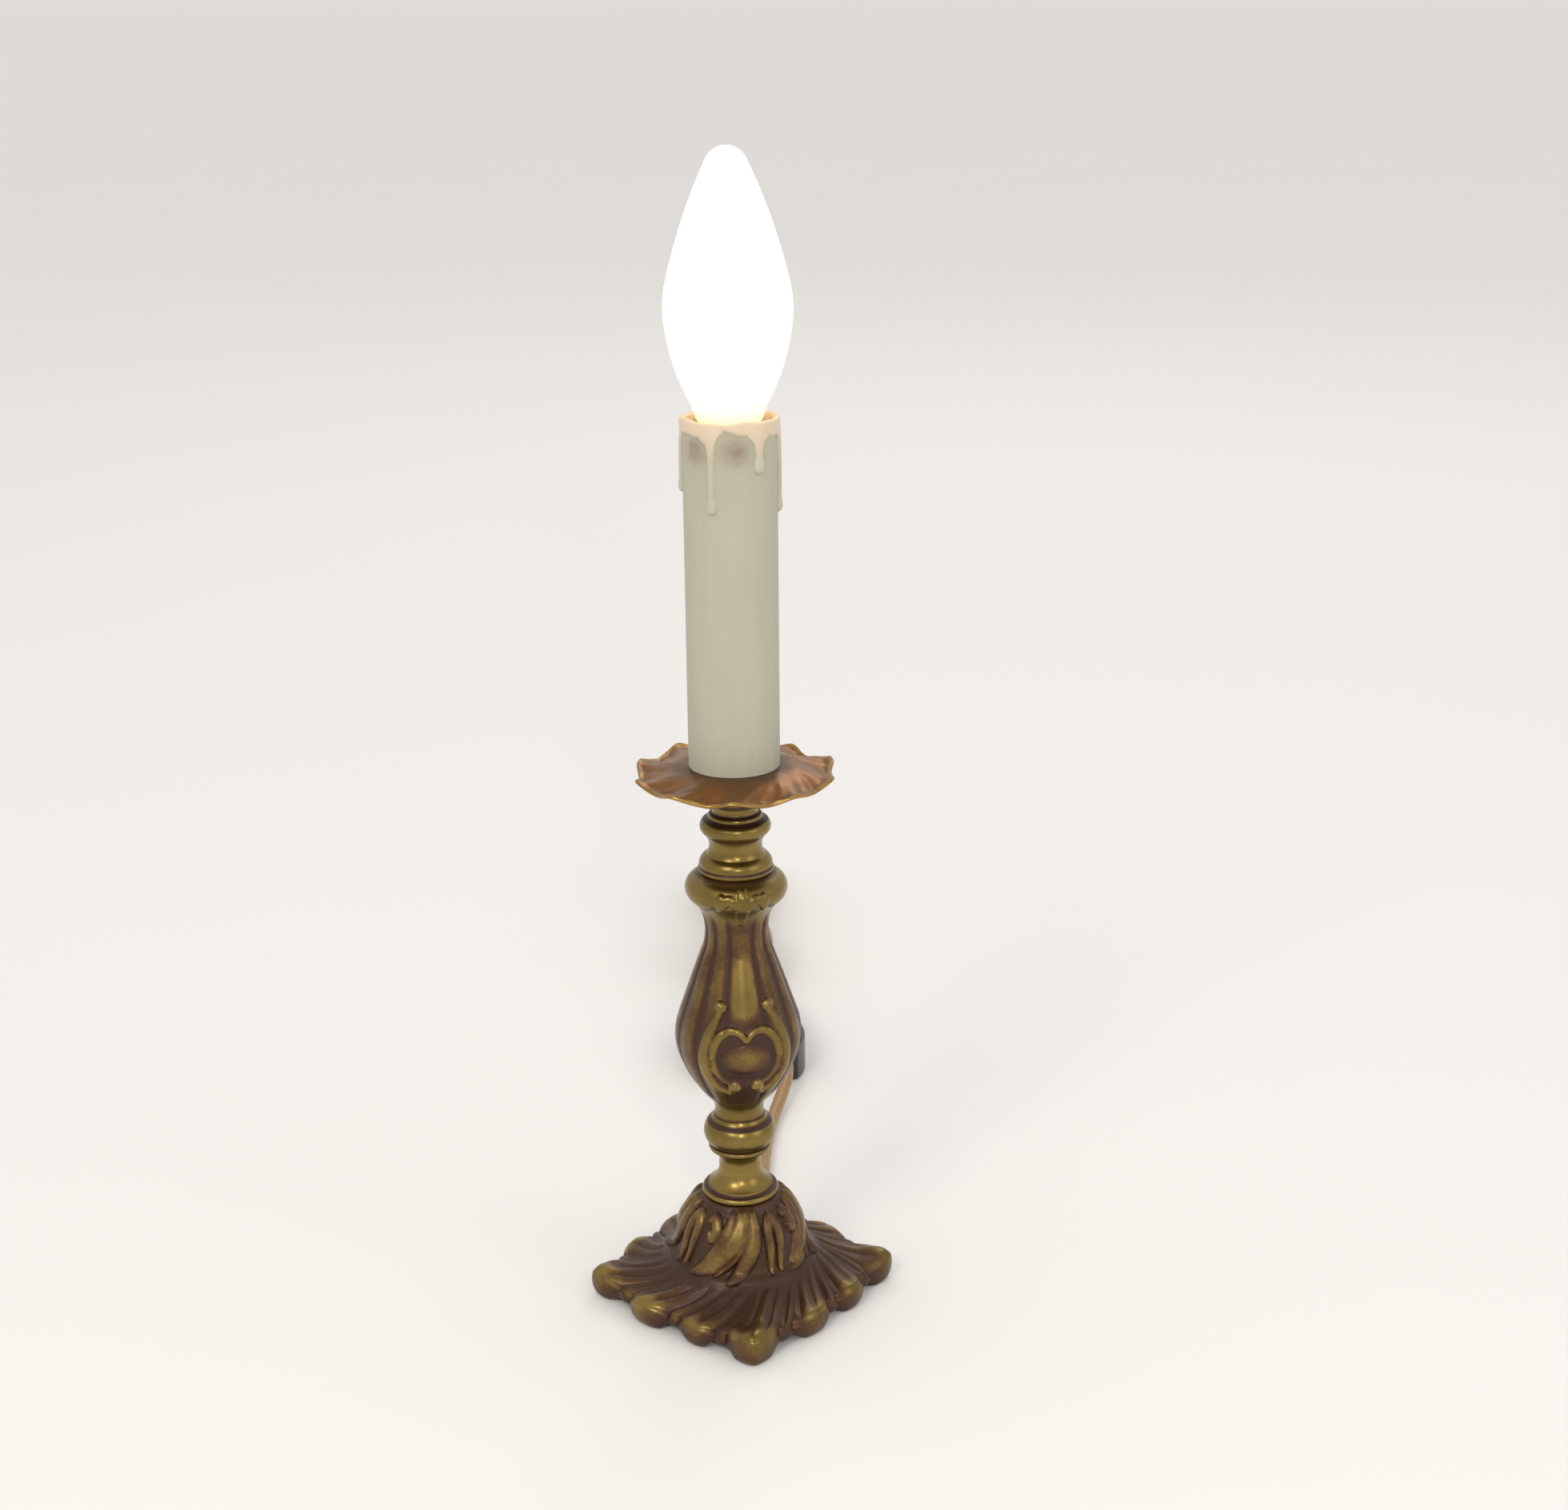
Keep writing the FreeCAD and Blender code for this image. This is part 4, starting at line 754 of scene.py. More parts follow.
# Cartouche: its sunk field with an oval boss, in half sizes, and the scrolls round it
FIELD_SIDE_FADE = (10.0, 8.8)
FIELD_BAND = (75.4, 77.6, 90.0, 92.4)
FIELD_DEPTH = 1.3
FIELD_MARK = 0.04
BOSS_HALF = (7.6, 4.6)
BOSS_Z = 84.4
BOSS_POWER = 0.4
BOSS_HEIGHT = 1.4
BOSS_MARK = 0.54
SHADE_SIDE_FADE = (6.5, 3.5)
SHADE_TOP_FADE = (99.5, 94.0)
BROW_SHADE = 0.7
# distance from the middle line and height along one half of the scrolls, which the other half mirrors
SCROLL_ROUTE = [(6.9, 98.6), (8.6, 95.4), (11.0, 90.4), (12.2, 84.8), (11.2, 79.2), (8.2, 74.6), (5.0, 72.8),
                (2.8, 74.2)]
INNER_ROUTE = [(9.6, 85.6), (9.0, 80.8), (6.8, 77.4), (4.6, 76.2)]
BROW_ROUTE = [(0.2, 90.6), (2.0, 92.8), (4.6, 93.4), (7.4, 91.8), (9.2, 88.6), (9.7, 85.2)]
# route, taper, half width and share of the scroll height, then place, radius and share of each knob
SCROLL_LINES = ((SCROLL_ROUTE, 0.35, 1.6, 1.0), (INNER_ROUTE, 0.5, 1.1, 0.8), (BROW_ROUTE, 0.3, 1.35, 1.1))
SCROLL_KNOBS = (((6.8, 99.8), 1.9, 1.35), ((3.4, 75.2), 2.1, 1.5))
RAISED_MARK = 0.6
RAISED_MARK_TOP = 0.72
RAISED_SINK = 0.25
GROUND_SHARE = 0.35

# Shoulder: leaf, curls and pearls, front and back, and a wavy groove between them
SHOULDER_RANGE = (122.5, 135.6)
PEARL_DEG = 25.0
PEARL_Z = 132.6
PEARL_R = 1.8
PEARL_HEIGHT = 1.0
# route, taper, half width and height
LEAF_LINES = [
    ([(0.0, 135.0), (0.0, 130.5), (0.0, 124.4)], 0.4, 2.3, 0.9),
    ([(1.6, 130.4), (3.6, 132.6), (6.0, 131.6), (6.2, 129.6)], 0.4, 1.7, 0.8),
]
SWAG_Z = 129.4
SWAG_WAVES = ((4, 1.6, 0.6),)
SWAG_HALF = 0.7
SWAG_DEPTH = 0.45
SWAG_FADE_DEG = (28.0, 36.0)
SWAG_SHADE = 0.8


def reeds(depth, z, off):
    """Height, mark and share of the tongue panel and the reeds, by the angle off the middle line."""
    inside = off < PANEL_DEG
    share = band(REED_BAND, z)
    ridge = np.abs(np.sin(math.pi * (off - PANEL_DEG) / REED_STEP_DEG))
    tongue = PANEL_RISE - PANEL_ROUND * (off / PANEL_DEG) ** 2
    tongue *= 1 - PANEL_EDGE_DROP * smoothstep(PANEL_EDGE_DEG, PANEL_DEG, off)
    height = depth * share * (np.where(inside, tongue, ridge ** REED_POWER) - 1)
    valley = np.where(inside, smoothstep(PANEL_SHADE_DEG, PANEL_DEG, off), smoothstep(*VALLEY_RANGE, ridge))
    # lighter patch low on the tongue: wear with a painted highlight
    rubbed_and_painted_highlight = band(RUBBED_PAINTED_HIGHLIGHT_BAND, z) * smoothstep(PANEL_DEG, PANEL_PAINTED_HIGHLIGHT_DEG, off)
    crest = np.where(inside, PANEL_MARK + RUBBED_PAINTED_HIGHLIGHT_MARK * rubbed_and_painted_highlight, REED_MARK)
    return height, VASE_MARK - share * (VASE_MARK - crest * (1 - VALLEY_SHADE * valley)), share


def scrolls(scroll, reach, level):
    """Height of the lines and knobs of the cartouche."""
    raised = scroll * beads_along(reach, level, SCROLL_LINES)
    for (side, height), width, share in SCROLL_KNOBS:
        distance = np.hypot(reach - side, level - height)
        raised = np.maximum(raised, bead(distance, width, share * scroll))
    return raised


def shoulder_leaf(radius, reach, level, off):
    """Height of the leaf, the curls and the pearls on the shoulder."""
    pearl = np.hypot(radius * np.radians(off - PEARL_DEG), level - PEARL_Z)
    return np.maximum(bead(pearl, PEARL_R, PEARL_HEIGHT), beads_along(reach, level, LEAF_LINES))


def vase_relief(sizes, radius, z, degrees):
    """Height over the turned outline and mark, at one level."""
    around = wrapped(degrees + 90.0 - VASE_TURN_DEG, 180.0)
    off = np.abs(around)
    reach = np.abs(radius * np.sin(np.radians(around)))
    height, mark, share = reeds(sizes.reed_depth / MM, z, off)
    field = smoothstep(*FIELD_SIDE_FADE, reach) * band(FIELD_BAND, z)
    boss = 1 - (reach / BOSS_HALF[0]) ** 2 - ((z - BOSS_Z) / BOSS_HALF[1]) ** 2
    boss = np.clip(boss, 0, 1) ** BOSS_POWER
    height = height * (1 - field) + field * (BOSS_HEIGHT * boss - FIELD_DEPTH)
    mark = mark * (1 - field) + field * (FIELD_MARK + BOSS_MARK * boss)
    brow = smoothstep(*SHADE_TOP_FADE, z) * smoothstep(*SHADE_SIDE_FADE, reach)
    mark *= 1 - BROW_SHADE * brow * share * (1 - field)
    raised = scrolls(sizes.scroll_height / MM, reach, z)
    if SHOULDER_RANGE[0] < z < SHOULDER_RANGE[1]:
        raised = np.maximum(raised, shoulder_leaf(radius, reach, z, off))
        swag = SWAG_Z + waves(off * DEG, SWAG_WAVES, np.sin)
        groove = bead(z - swag, SWAG_HALF, SWAG_DEPTH) * smoothstep(*SWAG_FADE_DEG, off)
        height = height - groove
        mark = mark * (1 - smoothstep(0, SWAG_DEPTH, groove) * SWAG_SHADE)
    over = raised - np.where(raised > 0, RAISED_SINK, 0) + np.minimum(height, 0) * GROUND_SHARE
    mark = np.maximum(mark, np.clip(raised * RAISED_MARK, 0, RAISED_MARK_TOP))
    return np.maximum(height, over), np.clip(mark, 0, 1)


def vase_grid(sizes):
    """Points of the vase from its foot up the outside and down its bore, with its relief."""
    outline = even_rows(arc_rows(VASE_START, VASE_ARCS, ARC_STEPS), VASE_SPACING)
    top = even_rows(np.array([outline[-1], VASE_TOP]), VASE_TOP_SPACING)
    outline = np.vstack([outline, top[1:]])
    rings = Rings(VASE_COLUMNS)
    for (r, z), (nr, nz) in zip(outline, outward(outline)):
        height, mark = vase_relief(sizes, r, z, rings.degrees)
        inner = smoothstep(*VASE_END_FADE, min(abs(z - VASE_START[1]), abs(VASE_TOP[1] - z)))
        mark *= VASE_END_MARK + (1 - VASE_END_MARK) * inner
        rings.add(r + nr * height, z + nz * height, mark)
    for z in (VASE_TOP[1], VASE_START[1]):
        rings.add(TUBE_HOLE_R, z, 0.0)
    return rings.arrays()


# Leaf pan, in mm
PAN_COLUMNS = 400
PAN_RIM_DEG = 14.0
PAN_TURN_DEG = 16.0
PAN_FLOOR_Z = 169.0
PAN_THICK = 1.3
PAN_STEPS = 8
PAN_SPACING = 0.33
# radius and height of hub and boss, then radius and drop below the floor of the leaf's top and underside
PAN_BOSS = [(TUBE_HOLE_R, 167.0), (TUBE_HOLE_R, 170.2), (11.2, 170.2), (11.4, 170.0), (11.4, PAN_FLOOR_Z)]
PAN_KNOTS = [(11.8, 0.0), (14.0, 0.05), (17.5, 0.5), (21.0, 1.35), (24.0, 2.3), (26.0, 2.75), (27.3, 2.5),
             (27.9, 2.2)]
PAN_UNDER = [(24.0, 4.1), (20.0, 3.0), (16.0, 2.1), (12.0, 2.0), (5.6, 2.0)]
WAVE_OUT = 1.2
WAVE_UP = 1.05
# number of waves round the pan, size and phase: its swirled lobes, then their slow unevenness
PAN_LOBE_WAVES = ((10, 1.0, 0.0), (20, 0.16, 0.8))
PAN_WAVES = ((3, 0.30, 0.7), (5, 0.22, -1.1))
PAN_WAVE_TOTAL = 1.3
PAN_RIBS = 30
RIB_BEND = 0.3
RIB_FADE = (0.30, 0.85)
FLOOR_FADE = (0.08, 0.45)
# where the rim's edge mask begins; that mask paints the rolled rim brighter, as wear with a painted
# highlight
RIM_FADE = (0.93, 0.99)
HUB_MARK = 0.2
PAN_MARK = 0.64
RIB_MARK = 0.10
FLOOR_SHADE = 0.26
RIM_MARK = 0.95
RIM_STEPS = 6
RIM_FROM = 0.15
RIM_BULGE = 0.55
RIM_EDGE_FADE = 0.7
UNDER_MARK = 0.35


def pan_wave(angle, share):
    """The pan's lobes, swirled by the share of the way out, with their slow unevenness."""
    turned = angle - (PAN_RIM_DEG + PAN_TURN_DEG * (1 - share)) * DEG
    return (waves(turned, PAN_LOBE_WAVES) + waves(angle, PAN_WAVES)) / PAN_WAVE_TOTAL


def pan_grid(sizes):
    """Points of the pan from its hub over boss, leaf and rim to the underside, with relief and edge."""
    rib = sizes.rib_height / MM
    rings = Rings(PAN_COLUMNS)
    start_r, rim_r = PAN_KNOTS[0][0], PAN_KNOTS[-1][0]
    for r, z in PAN_BOSS:
        rings.add(r, z, HUB_MARK, 0.0)
    for r, drop in even_rows(smooth_rows(PAN_KNOTS, PAN_STEPS), PAN_SPACING):
        share = (r - start_r) / (rim_r - start_r)
        wave = pan_wave(rings.angle, share)
        swirl = rings.angle - (PAN_RIM_DEG + 2 * PAN_TURN_DEG * (1 - share)) * DEG
        ribs = np.cos(PAN_RIBS / 2 * swirl + RIB_BEND * wave) ** 2 - 0.5
        env = smoothstep(*RIB_FADE, share)
        z = PAN_FLOOR_Z - drop + WAVE_UP * share ** 2 * wave + 2 * rib * env * ribs
        mark = PAN_MARK + env * RIB_MARK * ribs - FLOOR_SHADE * (1 - smoothstep(*FLOOR_FADE, share))
        rings.add(r + WAVE_OUT * share ** 3 * wave, z, np.clip(mark, 0, 1), smoothstep(*RIM_FADE, share))
    wave = pan_wave(rings.angle, 1.0)
    top = PAN_FLOOR_Z - PAN_KNOTS[-1][1] + WAVE_UP * wave
    for t in np.linspace(RIM_FROM, 1.0, RIM_STEPS):
        r = rim_r + WAVE_OUT * wave + RIM_BULGE * math.sin(math.pi * t)
        rings.add(r, top - PAN_THICK * t, RIM_MARK, 1.0 - RIM_EDGE_FADE * t)
    for r, drop in PAN_UNDER:
        share = max(0.0, (r - start_r) / (rim_r - start_r))
        z = PAN_FLOOR_Z - drop + WAVE_UP * share ** 2 * pan_wave(rings.angle, share)
        rings.add(r + WAVE_OUT * share ** 3 * wave, z, UNDER_MARK, 0.0)
    return rings.arrays()


# Candle sleeve, in mm; drops are distances below its rim
SLEEVE_COLUMNS = 420
SLEEVE_R = 12.95
SLEEVE_WALL = 1.2
SLEEVE_LOW_Z = 169.1
SLEEVE_PLAIN_ROWS = 24
SLEEVE_WAX_ROWS = 96
SLEEVE_PLAIN_Z = 236.0
SLEEVE_WAX_Z = 236.4
LIP_STEPS = 8
LIP_FROM = 0.12
LIP_DROP = 0.9
LIP_ROUND = 0.52
LIP_MARK = 0.6
BORE_Z = 230.0
BORE_DROP = 6.0
# number of waves round the sleeve, size and phase: its warp, the collar's lower edge and the lip
WARP_WAVES = ((2, 0.10, 1.0),)
EDGE_WAVES = ((3, 0.8, 0.4), (7, 0.6, 1.9))
LIP_WAVES = ((4, 0.22, 0.0), (9, 0.16, 1.0))
WAX_EDGE_DROP = 4.2
WAX_EDGE_FADE = (0.0, 1.5)
WEB_WIDTH = 2.6
WEB_LENGTH = 1.6
STEM_WIDTH = 0.62
STEM_HEIGHT = 0.66
STEM_FLATTEN = 0.12
DROP_LENGTH = 2.2
DROP_HEIGHT = 0.82
# place round the sleeve in degrees, length below the rim and half width of each drip
DRIPS = [(175.0, 21.1, 1.5), (242.5, 25.3, 1.6), (303.0, 14.5, 1.7), (355.0, 26.9, 1.6), (52.0, 18.6, 1.6),
         (112.0, 28.6, 1.6)]
# place round the sleeve in degrees, drop of the middle, half width and half height of each scorch mark
SCORCHES = [(220.0, 8.2, 4.0, 3.6), (272.0, 8.0, 4.2, 3.8)]


def sleeve_side(degrees, place):
    """Distance round the sleeve from a place on it."""
    return wrapped(degrees - place, 360.0) * DEG * SLEEVE_R


def sleeve_relief(sizes, z, degrees):
    """Height of the wax over the sleeve at one level, and how scorched it is there."""
    top = SLEEVE_TOP / MM
    edge = top - WAX_EDGE_DROP + waves(degrees * DEG, EDGE_WAVES, np.sin)
    wax = sizes.wax_height / MM * smoothstep(*WAX_EDGE_FADE, z - edge)
    web = WEB_WIDTH * np.exp(-np.clip(edge - z, 0, None) / WEB_LENGTH)
    for place, run, width in DRIPS:
        aside = sleeve_side(degrees, place)
        over = z - (top - run + width)
        if over > 0:
            stem = STEM_HEIGHT * width / (1 + web * STEM_FLATTEN)
            wax = np.maximum(wax, bead(aside, STEM_WIDTH * width + web, stem))
            over /= DROP_LENGTH
        wax = np.maximum(wax, bead(np.hypot(aside, over), width, DROP_HEIGHT * width))
    scorch = np.zeros_like(degrees)
    for place, drop, half_w, half_h in SCORCHES:
        off = (sleeve_side(degrees, place) / half_w) ** 2 + ((z - top + drop) / half_h) ** 2
        scorch = np.maximum(scorch, np.exp(-off))
    return wax, scorch


def sleeve_grid(sizes):
    """Points of the sleeve up the outside, over the lip and down the bore, with wax and scorch."""
    rim = SLEEVE_TOP / MM
    thick = sizes.wax_height / MM
    rings = Rings(SLEEVE_COLUMNS)
    warped = SLEEVE_R + waves(rings.angle, WARP_WAVES, np.sin)
    plain = np.linspace(SLEEVE_LOW_Z, SLEEVE_PLAIN_Z, SLEEVE_PLAIN_ROWS)
    waxed = np.linspace(SLEEVE_WAX_Z, rim - LIP_DROP, SLEEVE_WAX_ROWS)
    for z in np.concatenate([plain, waxed]):
        wax, scorch = sleeve_relief(sizes, z, rings.degrees)
        rings.add(warped + wax, z, wax, scorch)
    lip = LIP_ROUND + waves(rings.angle, LIP_WAVES, np.sin)
    for t in np.linspace(LIP_FROM, 1.0, LIP_STEPS):
        r = warped + thick - (SLEEVE_WALL + thick) * (1 - math.cos(math.pi * t)) / 2
        rings.add(r, rim - LIP_DROP + lip * math.sin(math.pi * t), LIP_MARK, 0.0)
    for z in (rim - BORE_DROP, BORE_Z, SLEEVE_LOW_Z):
        rings.add(SLEEVE_R - SLEEVE_WALL, z, 0.0, 0.0)
    return rings.arrays()


# Cord routes in metres, in the lay frame of the table behind the lamp: back, to the right, up
LAY_DEG = 86.0
BUSH_END_R = 0.0416
EXIT_Z = NOTCH_Z * MM
STEM_HEIGHTS = (0.185, 0.120, 0.060, 0.024, EXIT_Z)
STEM_SHARES = (0.45, 0.7)
SWITCH_NEAR = (0.1390, 0.0176, 0.0075)
SWITCH_FAR = (0.1960, 0.0088, 0.0075)
LEAD_ROUTE = [(0.0570, 0.0070, 0.0026), (0.0720, 0.0079, 0.0023), (0.0880, 0.0091, 0.0023),
              (0.1040, 0.0113, 0.0025), (0.1185, 0.0150, 0.0044), (0.1296, 0.0178, 0.0071)]
HANK_S = 0.2320
HANK_V = 0.0012
HANK_HALF = 0.0110
HANK_RUN = 0.0880
WAIST_HALF = 0.00275
WAIST_L = 0.0160
SHOULDER_AT = 0.36
SHOULDER_SHARE = 0.82
NECK_AT = 0.7
NECK_SHARE = 1.3
HANK_PITCH = 0.00505
HANK_LOW_Z = 0.0032
HANK_LAYERS = 4
HANK_TOP_Z = HANK_LOW_Z + (HANK_LAYERS - 1) * HANK_PITCH
LOOP_DEG = (-60, -30, 0, 30, 60)
LOOP_BULGE = 1.12 * HANK_HALF
LOOP_FALL_DEG = 150
JUMP_ROUTE = [(0.2050, 0.0079, 0.0086), (0.2135, 0.0097, 0.0136), (0.2225, 0.0122, HANK_TOP_Z)]
TAIL_ROUTE = [(0.2200, -0.0098, HANK_LOW_Z), (0.2085, -0.0078, 0.0070), (0.1750, -0.0078, 0.0070)]


def lay(s, v, z):
    """Point on or over the table: back along the lay line, to its right, and up."""
    a = LAY_DEG * DEG
    return Vector((s * math.cos(a) + v * math.sin(a), s * math.sin(a) - v * math.cos(a), z))


def hank_route():
    """One unbroken line wound down from the top layer: long loops drawn in at the waist."""
    side = (HANK_RUN - WAIST_L) / 2
    half = [(0.0, HANK_HALF), (side * SHOULDER_AT, HANK_HALF * SHOULDER_SHARE),
            (side * NECK_AT, WAIST_HALF * NECK_SHARE), (side, WAIST_HALF)]
    run = half + [(HANK_RUN - u, v) for u, v in reversed(half)]
    points = []
    for layer in reversed(range(HANK_LAYERS)):
        z = HANK_LOW_Z + HANK_PITCH * layer
        points += [(u, v, z) for u, v in run]
        for turn in reversed(LOOP_DEG):
            u = HANK_RUN + LOOP_BULGE * math.cos(turn * DEG)
            points.append((u, LOOP_BULGE * math.sin(turn * DEG), z))
        points += [(u, -v, z) for u, v in reversed(run)]
        if layer:
            for turn in LOOP_DEG:
                u = -LOOP_BULGE * math.cos(turn * DEG)
                fall = HANK_PITCH * (0.5 + turn / LOOP_FALL_DEG)
                points.append((u, LOOP_BULGE * math.sin(turn * DEG), z - fall))
    return [lay(HANK_S + u, HANK_V + v, z) for u, v, z in points]


def cord_piece(name, route, width, body, material):
    """Smooth cord along its route."""
    curve = bpy.data.curves.new(name, "CURVE")
    curve.dimensions = "3D"
    curve.bevel_depth = width / 2
    curve.bevel_resolution = 6
    curve.resolution_u = 8
    spline = curve.splines.new("NURBS")
    spline.points.add(len(route) - 1)
    for point, place in zip(spline.points, route):
        point.co = (*place, 1.0)
    spline.order_u = 3
    spline.use_endpoint_u = True
    curve.materials.append(material)
    piece = bpy.data.objects.new(name, curve)
    bpy.context.scene.collection.objects.link(piece)
    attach(piece, body)
    return piece


def dress(material, *nodes):
    """Give CAD nodes their finish."""
    for node in nodes:
        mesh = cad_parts[node].data
        mesh.materials.clear()
        mesh.materials.append(material)


# Finishes and lights that the operators give out
FOOT_BIAS = -0.04
VASE_BIAS = -0.02
TURNED_BIAS = -0.10
# gain of the pan rim's colour over the gold: wear with a painted highlight
RIM_PAINTED_HIGHLIGHT = 1.7
# height and half width of each turned piece's grooves, in metres
TURNED_GROOVES = {
    "lower_column": [(0.0354, 0.0006), (0.0478, 0.0006), (0.0496, 0.0006), (0.0573, 0.0010)],
    "upper_spool": [(0.1386, 0.0006), (0.1482, 0.0005), (0.1530, 0.0007), (0.1548, 0.0006)],
    "pan_cup": [(0.1575, 0.0009), (0.1662, 0.0008)],
}
SWITCH_NODES = ("switch_lower", "switch_upper", "switch_rocker")
# kind of finish, name, colour, roughness and nodes of the fittings
FITTINGS = (
    (bright_metal, "Zinc plate", (0.58, 0.58, 0.55), 0.36,
     ("threaded_tube", "base_washer", "base_nut", "pan_nut", "holder_bracket", "holder_screw_back",
      "holder_screw_front")),
    (bright_metal, "Stamped brass", (0.70, 0.52, 0.22), 0.26,
     ("holder_shell", "holder_contact", "terminal_live", "terminal_neutral", "plug_blade_left",
      "plug_blade_right")),
    (moulded, "Lampholder moulding", (0.055, 0.032, 0.022), 0.42, ("holder_body",)),
    (moulded, "Brown core", (0.16, 0.055, 0.02), 0.4, ("core_live",)),
    (moulded, "Blue core", (0.03, 0.09, 0.35), 0.4, ("core_neutral",)),
    (moulded, "Bush", (0.02, 0.018, 0.016), 0.45, ("tube_bush", "exit_bush")),
    (bright_metal, "Bulb cap metal", (0.70, 0.68, 0.64), 0.30, ("bulb_cap", "bulb_tip")),
    (moulded, "Cap glass", (0.02, 0.02, 0.025), 0.15, ("bulb_insulator",)),
    (moulded, "Black plastic", (0.018, 0.018, 0.018), 0.32,
     (*SWITCH_NODES, "plug_body", "plug_relief", "hank_tie")),
)
TABLE_HALF = 40.0
CLIP_RANGE = (0.01, 200.0)
ROOM_LIGHT = 0.92
LIGHT_AIM = (0.0, 0.0, 0.15)
# name, place, diameter in metres, power in watts and colour of each soft light
LIGHTS = (
    ("key", (-0.9, -1.3, 1.5), 0.7, 9.0, (1.0, 0.97, 0.92)),
    ("fill", (1.4, -0.9, 0.9), 0.9, 2.5, (0.96, 0.98, 1.0)),
    ("back", (0.5, 1.5, 1.5), 0.9, 3.5, (1.0, 0.98, 0.95)),
    ("flash", (0.02, -0.70, 0.50), 0.06, 0.9, (1.0, 0.96, 0.88)),
)


# Operators
class LAMP_OT_cast_foot(bpy.types.Operator):
    """Cast foot with swirled flutes, lobed border and leaf dome"""

    bl_idname = "lamp.cast_foot"
    bl_label = "Cast foot"

    def execute(self, context):
        points, relief = foot_grid(context.scene.lamp_sizes)
        colours = context.scene.lamp_colours
        brass = aged_brass("Foot brass", colours, colours.gold, bias=FOOT_BIAS)
        foot = grid_piece("cast_foot", points, {"relief": relief}, "stand", brass)
        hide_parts("base_foot")
        return {"FINISHED"}


class LAMP_OT_cast_vase(bpy.types.Operator):
    """Cast vase with reeds, tongue panel and cartouche, front and back"""

    bl_idname = "lamp.cast_vase"
    bl_label = "Cast vase"

    def execute(self, context):
        points, relief = vase_grid(context.scene.lamp_sizes)
        colours = context.scene.lamp_colours
        brass = aged_brass("Vase brass", colours, colours.gold, bias=VASE_BIAS)
        vase = grid_piece("cast_vase", points, {"relief": relief}, "stand", brass)
        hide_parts("vase_body")
        return {"FINISHED"}


class LAMP_OT_leaf_pan(bpy.types.Operator):
    """Leaf pan with a wavy rolled rim and swirled ribs"""

    bl_idname = "lamp.leaf_pan"
    bl_label = "Leaf pan"

    def execute(self, context):
        points, relief, edge = pan_grid(context.scene.lamp_sizes)
        colours = context.scene.lamp_colours
        brass = aged_brass("Pan brass", colours, colours.copper, edge=shaded(colours.gold, RIM_PAINTED_HIGHLIGHT))
        pan = grid_piece("leaf_pan", points, {"relief": relief, "edge": edge}, "stand", brass)
        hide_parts("drip_pan")
        return {"FINISHED"}


class LAMP_OT_turned_brass(bpy.types.Operator):
    """Patina of the turned column, spool and cup"""

    bl_idname = "lamp.turned_brass"
    bl_label = "Turned brass"

    def execute(self, context):
        colours = context.scene.lamp_colours
        for node, grooves in TURNED_GROOVES.items():
            title = node.replace("_", " ").capitalize() + " brass"
            dress(aged_brass(title, colours, colours.gold, grooves, TURNED_BIAS), node)
        return {"FINISHED"}


class LAMP_OT_candle_sleeve(bpy.types.Operator):
    """Candle sleeve with a wax collar, drips and scorch marks"""

    bl_idname = "lamp.candle_sleeve"
    bl_label = "Candle sleeve"

    def execute(self, context):
        points, wax, scorch = sleeve_grid(context.scene.lamp_sizes)
        material = sleeve_wax("Aged candle sleeve", context.scene.lamp_colours)
        sleeve = grid_piece("waxed_sleeve", points, {"relief": wax, "scorch": scorch}, "sleeve", material)
        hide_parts("candle_sleeve")
        return {"FINISHED"}


class LAMP_OT_bulb(bpy.types.Operator):
    """Lit opal glass of the bulb"""

    bl_idname = "lamp.bulb"
    bl_label = "Bulb"

    def execute(self, context):
        dress(lit_opal("Lit opal glass", context.scene.lamp_colours), "bulb_glass")
        return {"FINISHED"}


class LAMP_OT_fittings(bpy.types.Operator):
    """Finishes of tube, nuts, bracket, lampholder, bulb cap, cores, bushes, switch and plug"""

    bl_idname = "lamp.fittings"
    bl_label = "Fittings"

    def execute(self, context):
        for maker, name, base, roughness, nodes in FITTINGS:
            dress(maker(name, base, roughness), *nodes)
        return {"FINISHED"}


class LAMP_OT_cord(bpy.types.Operator):
    """Supply cord: inside the stem, from the foot to the switch, and from the switch to the plug"""

    bl_idname = "lamp.cord"
    bl_label = "Cord"

    def execute(self, context):
        width = context.scene.lamp_sizes.cord_width
        sheath = cord_sheath("Cord sheath", context.scene.lamp_colours.flex)
        way = Vector((math.cos(EXIT_DEG * DEG), math.sin(EXIT_DEG * DEG), 0))
        exit_line = Vector((0, 0, EXIT_Z))
        bush_end = exit_line + way * BUSH_END_R
        inner = [Vector((0, 0, z)) for z in STEM_HEIGHTS]
        inner += [exit_line + way * BUSH_END_R * share for share in STEM_SHARES]
        inner.append(bush_end)
        stem = cord_piece("stem_cord", inner, width, "stand", sheath)
        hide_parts("cord_inside")
        route = [bush_end] + [lay(*p) for p in LEAD_ROUTE + [SWITCH_NEAR]]
        lead = cord_piece("lead_cord", route, width, "stand", sheath)
        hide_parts("cord_lead")
        far = lay(*SWITCH_FAR)
        route = [far] + [lay(*p) for p in JUMP_ROUTE] + hank_route() + [lay(*p) for p in TAIL_ROUTE]
        rest = cord_piece("put_away_cord", route, width, "stand", sheath)
        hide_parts("cord_jump", "cord_hank", "cord_tail")
        return {"FINISHED"}


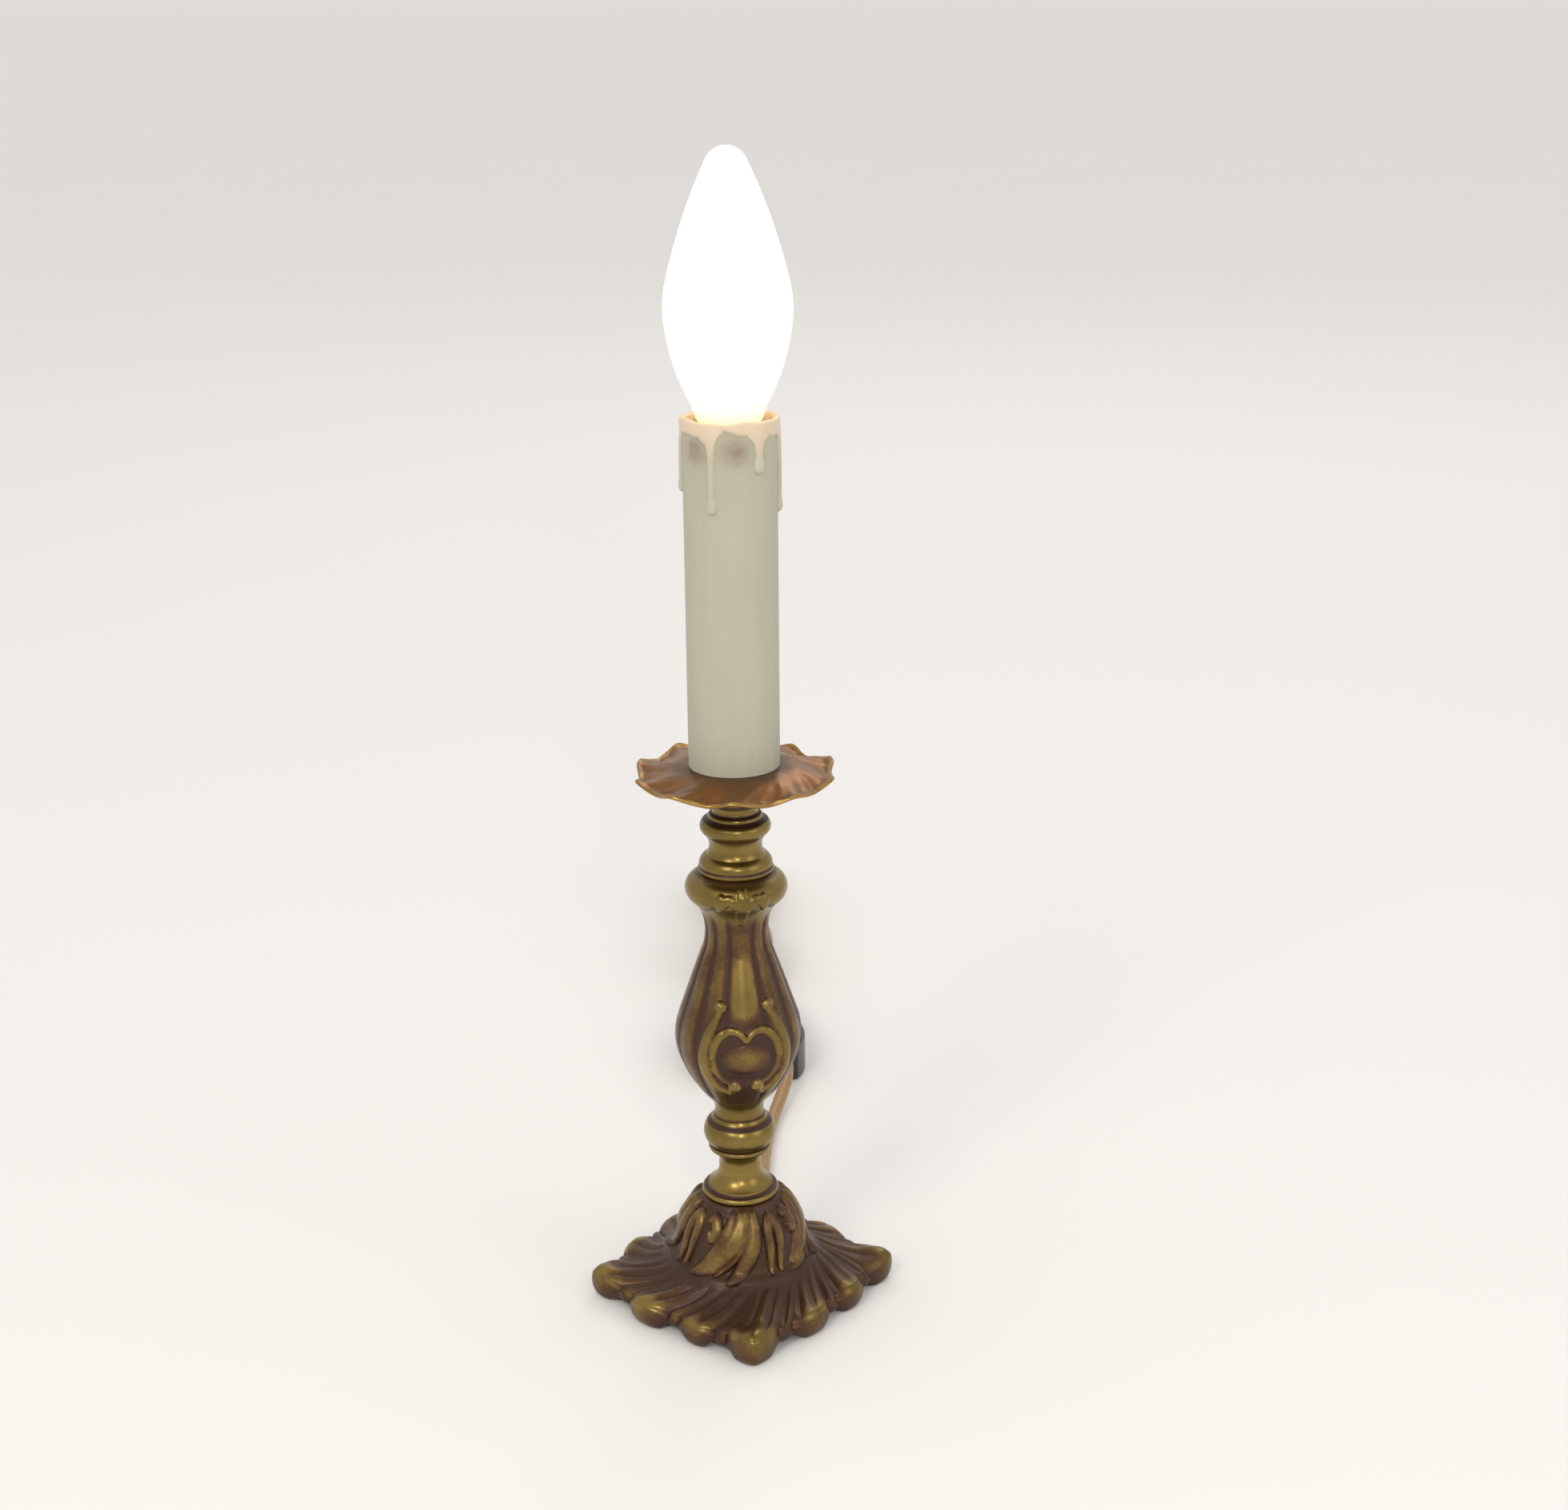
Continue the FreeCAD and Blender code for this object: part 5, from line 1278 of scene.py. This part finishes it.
class LAMP_OT_stage(bpy.types.Operator):
    """Pale table, soft lights and the camera of the photograph"""

    bl_idname = "lamp.stage"
    bl_label = "Stage"

    def execute(self, context):
        colours = context.scene.lamp_colours
        scene = context.scene
        scene.view_settings.view_transform = "Standard"
        mesh = bpy.data.meshes.new("table")
        corners = [(x * TABLE_HALF, y * TABLE_HALF, 0) for x, y in ((-1, -1), (1, -1), (1, 1), (-1, 1))]
        mesh.from_pydata(corners, [], [(0, 1, 2, 3)])
        mesh.materials.append(pale_table("Pale table", colours.table))
        table = bpy.data.objects.new("table", mesh)
        scene.collection.objects.link(table)
        self.world(scene, colours.table)
        for light in LIGHTS:
            soft_light(*light)
        self.camera(scene)
        return {"FINISHED"}

    @staticmethod
    def world(scene, colour):
        """Even room light; what the camera sees of it is as bright as the far table."""
        world = bpy.data.worlds.new("Pale room")
        f = Finish(world)
        rays = f.add("ShaderNodeLightPath")
        seen = rays["Is Camera Ray"].most(rays["Is Transmission Ray"]).most(rays["Is Glossy Ray"])
        tint = f.mix(seen, (1.0, 1.0, 1.0), colour)
        light = f.add("ShaderNodeBackground", None, {"Color": tint, "Strength": ROOM_LIGHT})
        f.add("ShaderNodeOutputWorld", None, {"Surface": light["Background"]})
        scene.world = world

    @staticmethod
    def camera(scene):
        data = bpy.data.cameras.new("camera")
        data.sensor_fit = "HORIZONTAL"
        data.sensor_width = SENSOR_MM
        data.lens = FOCAL_PX / PHOTO_W * SENSOR_MM
        data.clip_start, data.clip_end = CLIP_RANGE
        camera = bpy.data.objects.new("camera", data)
        turn = Vector(CAMERA_AIM).to_track_quat("-Z", "Y").to_matrix().to_4x4()
        roll = Matrix.Rotation(CAMERA_ROLL_DEG * DEG, 4, "Z")
        camera.matrix_world = Matrix.Translation(CAMERA_PLACE) @ turn @ roll
        scene.collection.objects.link(camera)
        scene.camera = camera


def soft_light(name, place, size, power, colour):
    """Round area light that is aimed at the lamp's middle."""
    data = bpy.data.lights.new(name, "AREA")
    data.shape = "DISK"
    data.size = size
    data.energy = power
    data.color = colour
    lamp = bpy.data.objects.new(name, data)
    lamp.location = place
    lamp.rotation_euler = (Vector(LIGHT_AIM) - Vector(place)).to_track_quat("-Z", "Y").to_euler()
    bpy.context.scene.collection.objects.link(lamp)


OPERATORS = (LAMP_OT_cast_foot, LAMP_OT_cast_vase, LAMP_OT_leaf_pan, LAMP_OT_turned_brass,
             LAMP_OT_candle_sleeve, LAMP_OT_bulb, LAMP_OT_fittings, LAMP_OT_cord, LAMP_OT_stage)


class LAMP_PT_pieces(bpy.types.Panel):
    """Sidebar panel with the lamp's sizes, colours and pieces"""

    bl_label = "Candlestick lamp"
    bl_idname = "LAMP_PT_pieces"
    bl_space_type = "VIEW_3D"
    bl_region_type = "UI"
    bl_category = "Candlestick"

    def draw(self, context):
        for group in (context.scene.lamp_sizes, context.scene.lamp_colours):
            for key in group.__annotations__:
                self.layout.prop(group, key)
        for operator in OPERATORS:
            self.layout.operator(operator.bl_idname)


CLASSES = (LampSizes, LampColours, *OPERATORS, LAMP_PT_pieces)


def register():
    for cls in CLASSES:
        bpy.utils.register_class(cls)
    bpy.types.Scene.lamp_sizes = bpy.props.PointerProperty(type=LampSizes)
    bpy.types.Scene.lamp_colours = bpy.props.PointerProperty(type=LampColours)


def unregister():
    del bpy.types.Scene.lamp_colours
    del bpy.types.Scene.lamp_sizes
    for cls in reversed(CLASSES):
        bpy.utils.unregister_class(cls)


def main():
    register()
    for operator in OPERATORS:
        getattr(bpy.ops.lamp, operator.bl_idname.removeprefix("lamp."))()


if __name__ == "__main__":
    main()
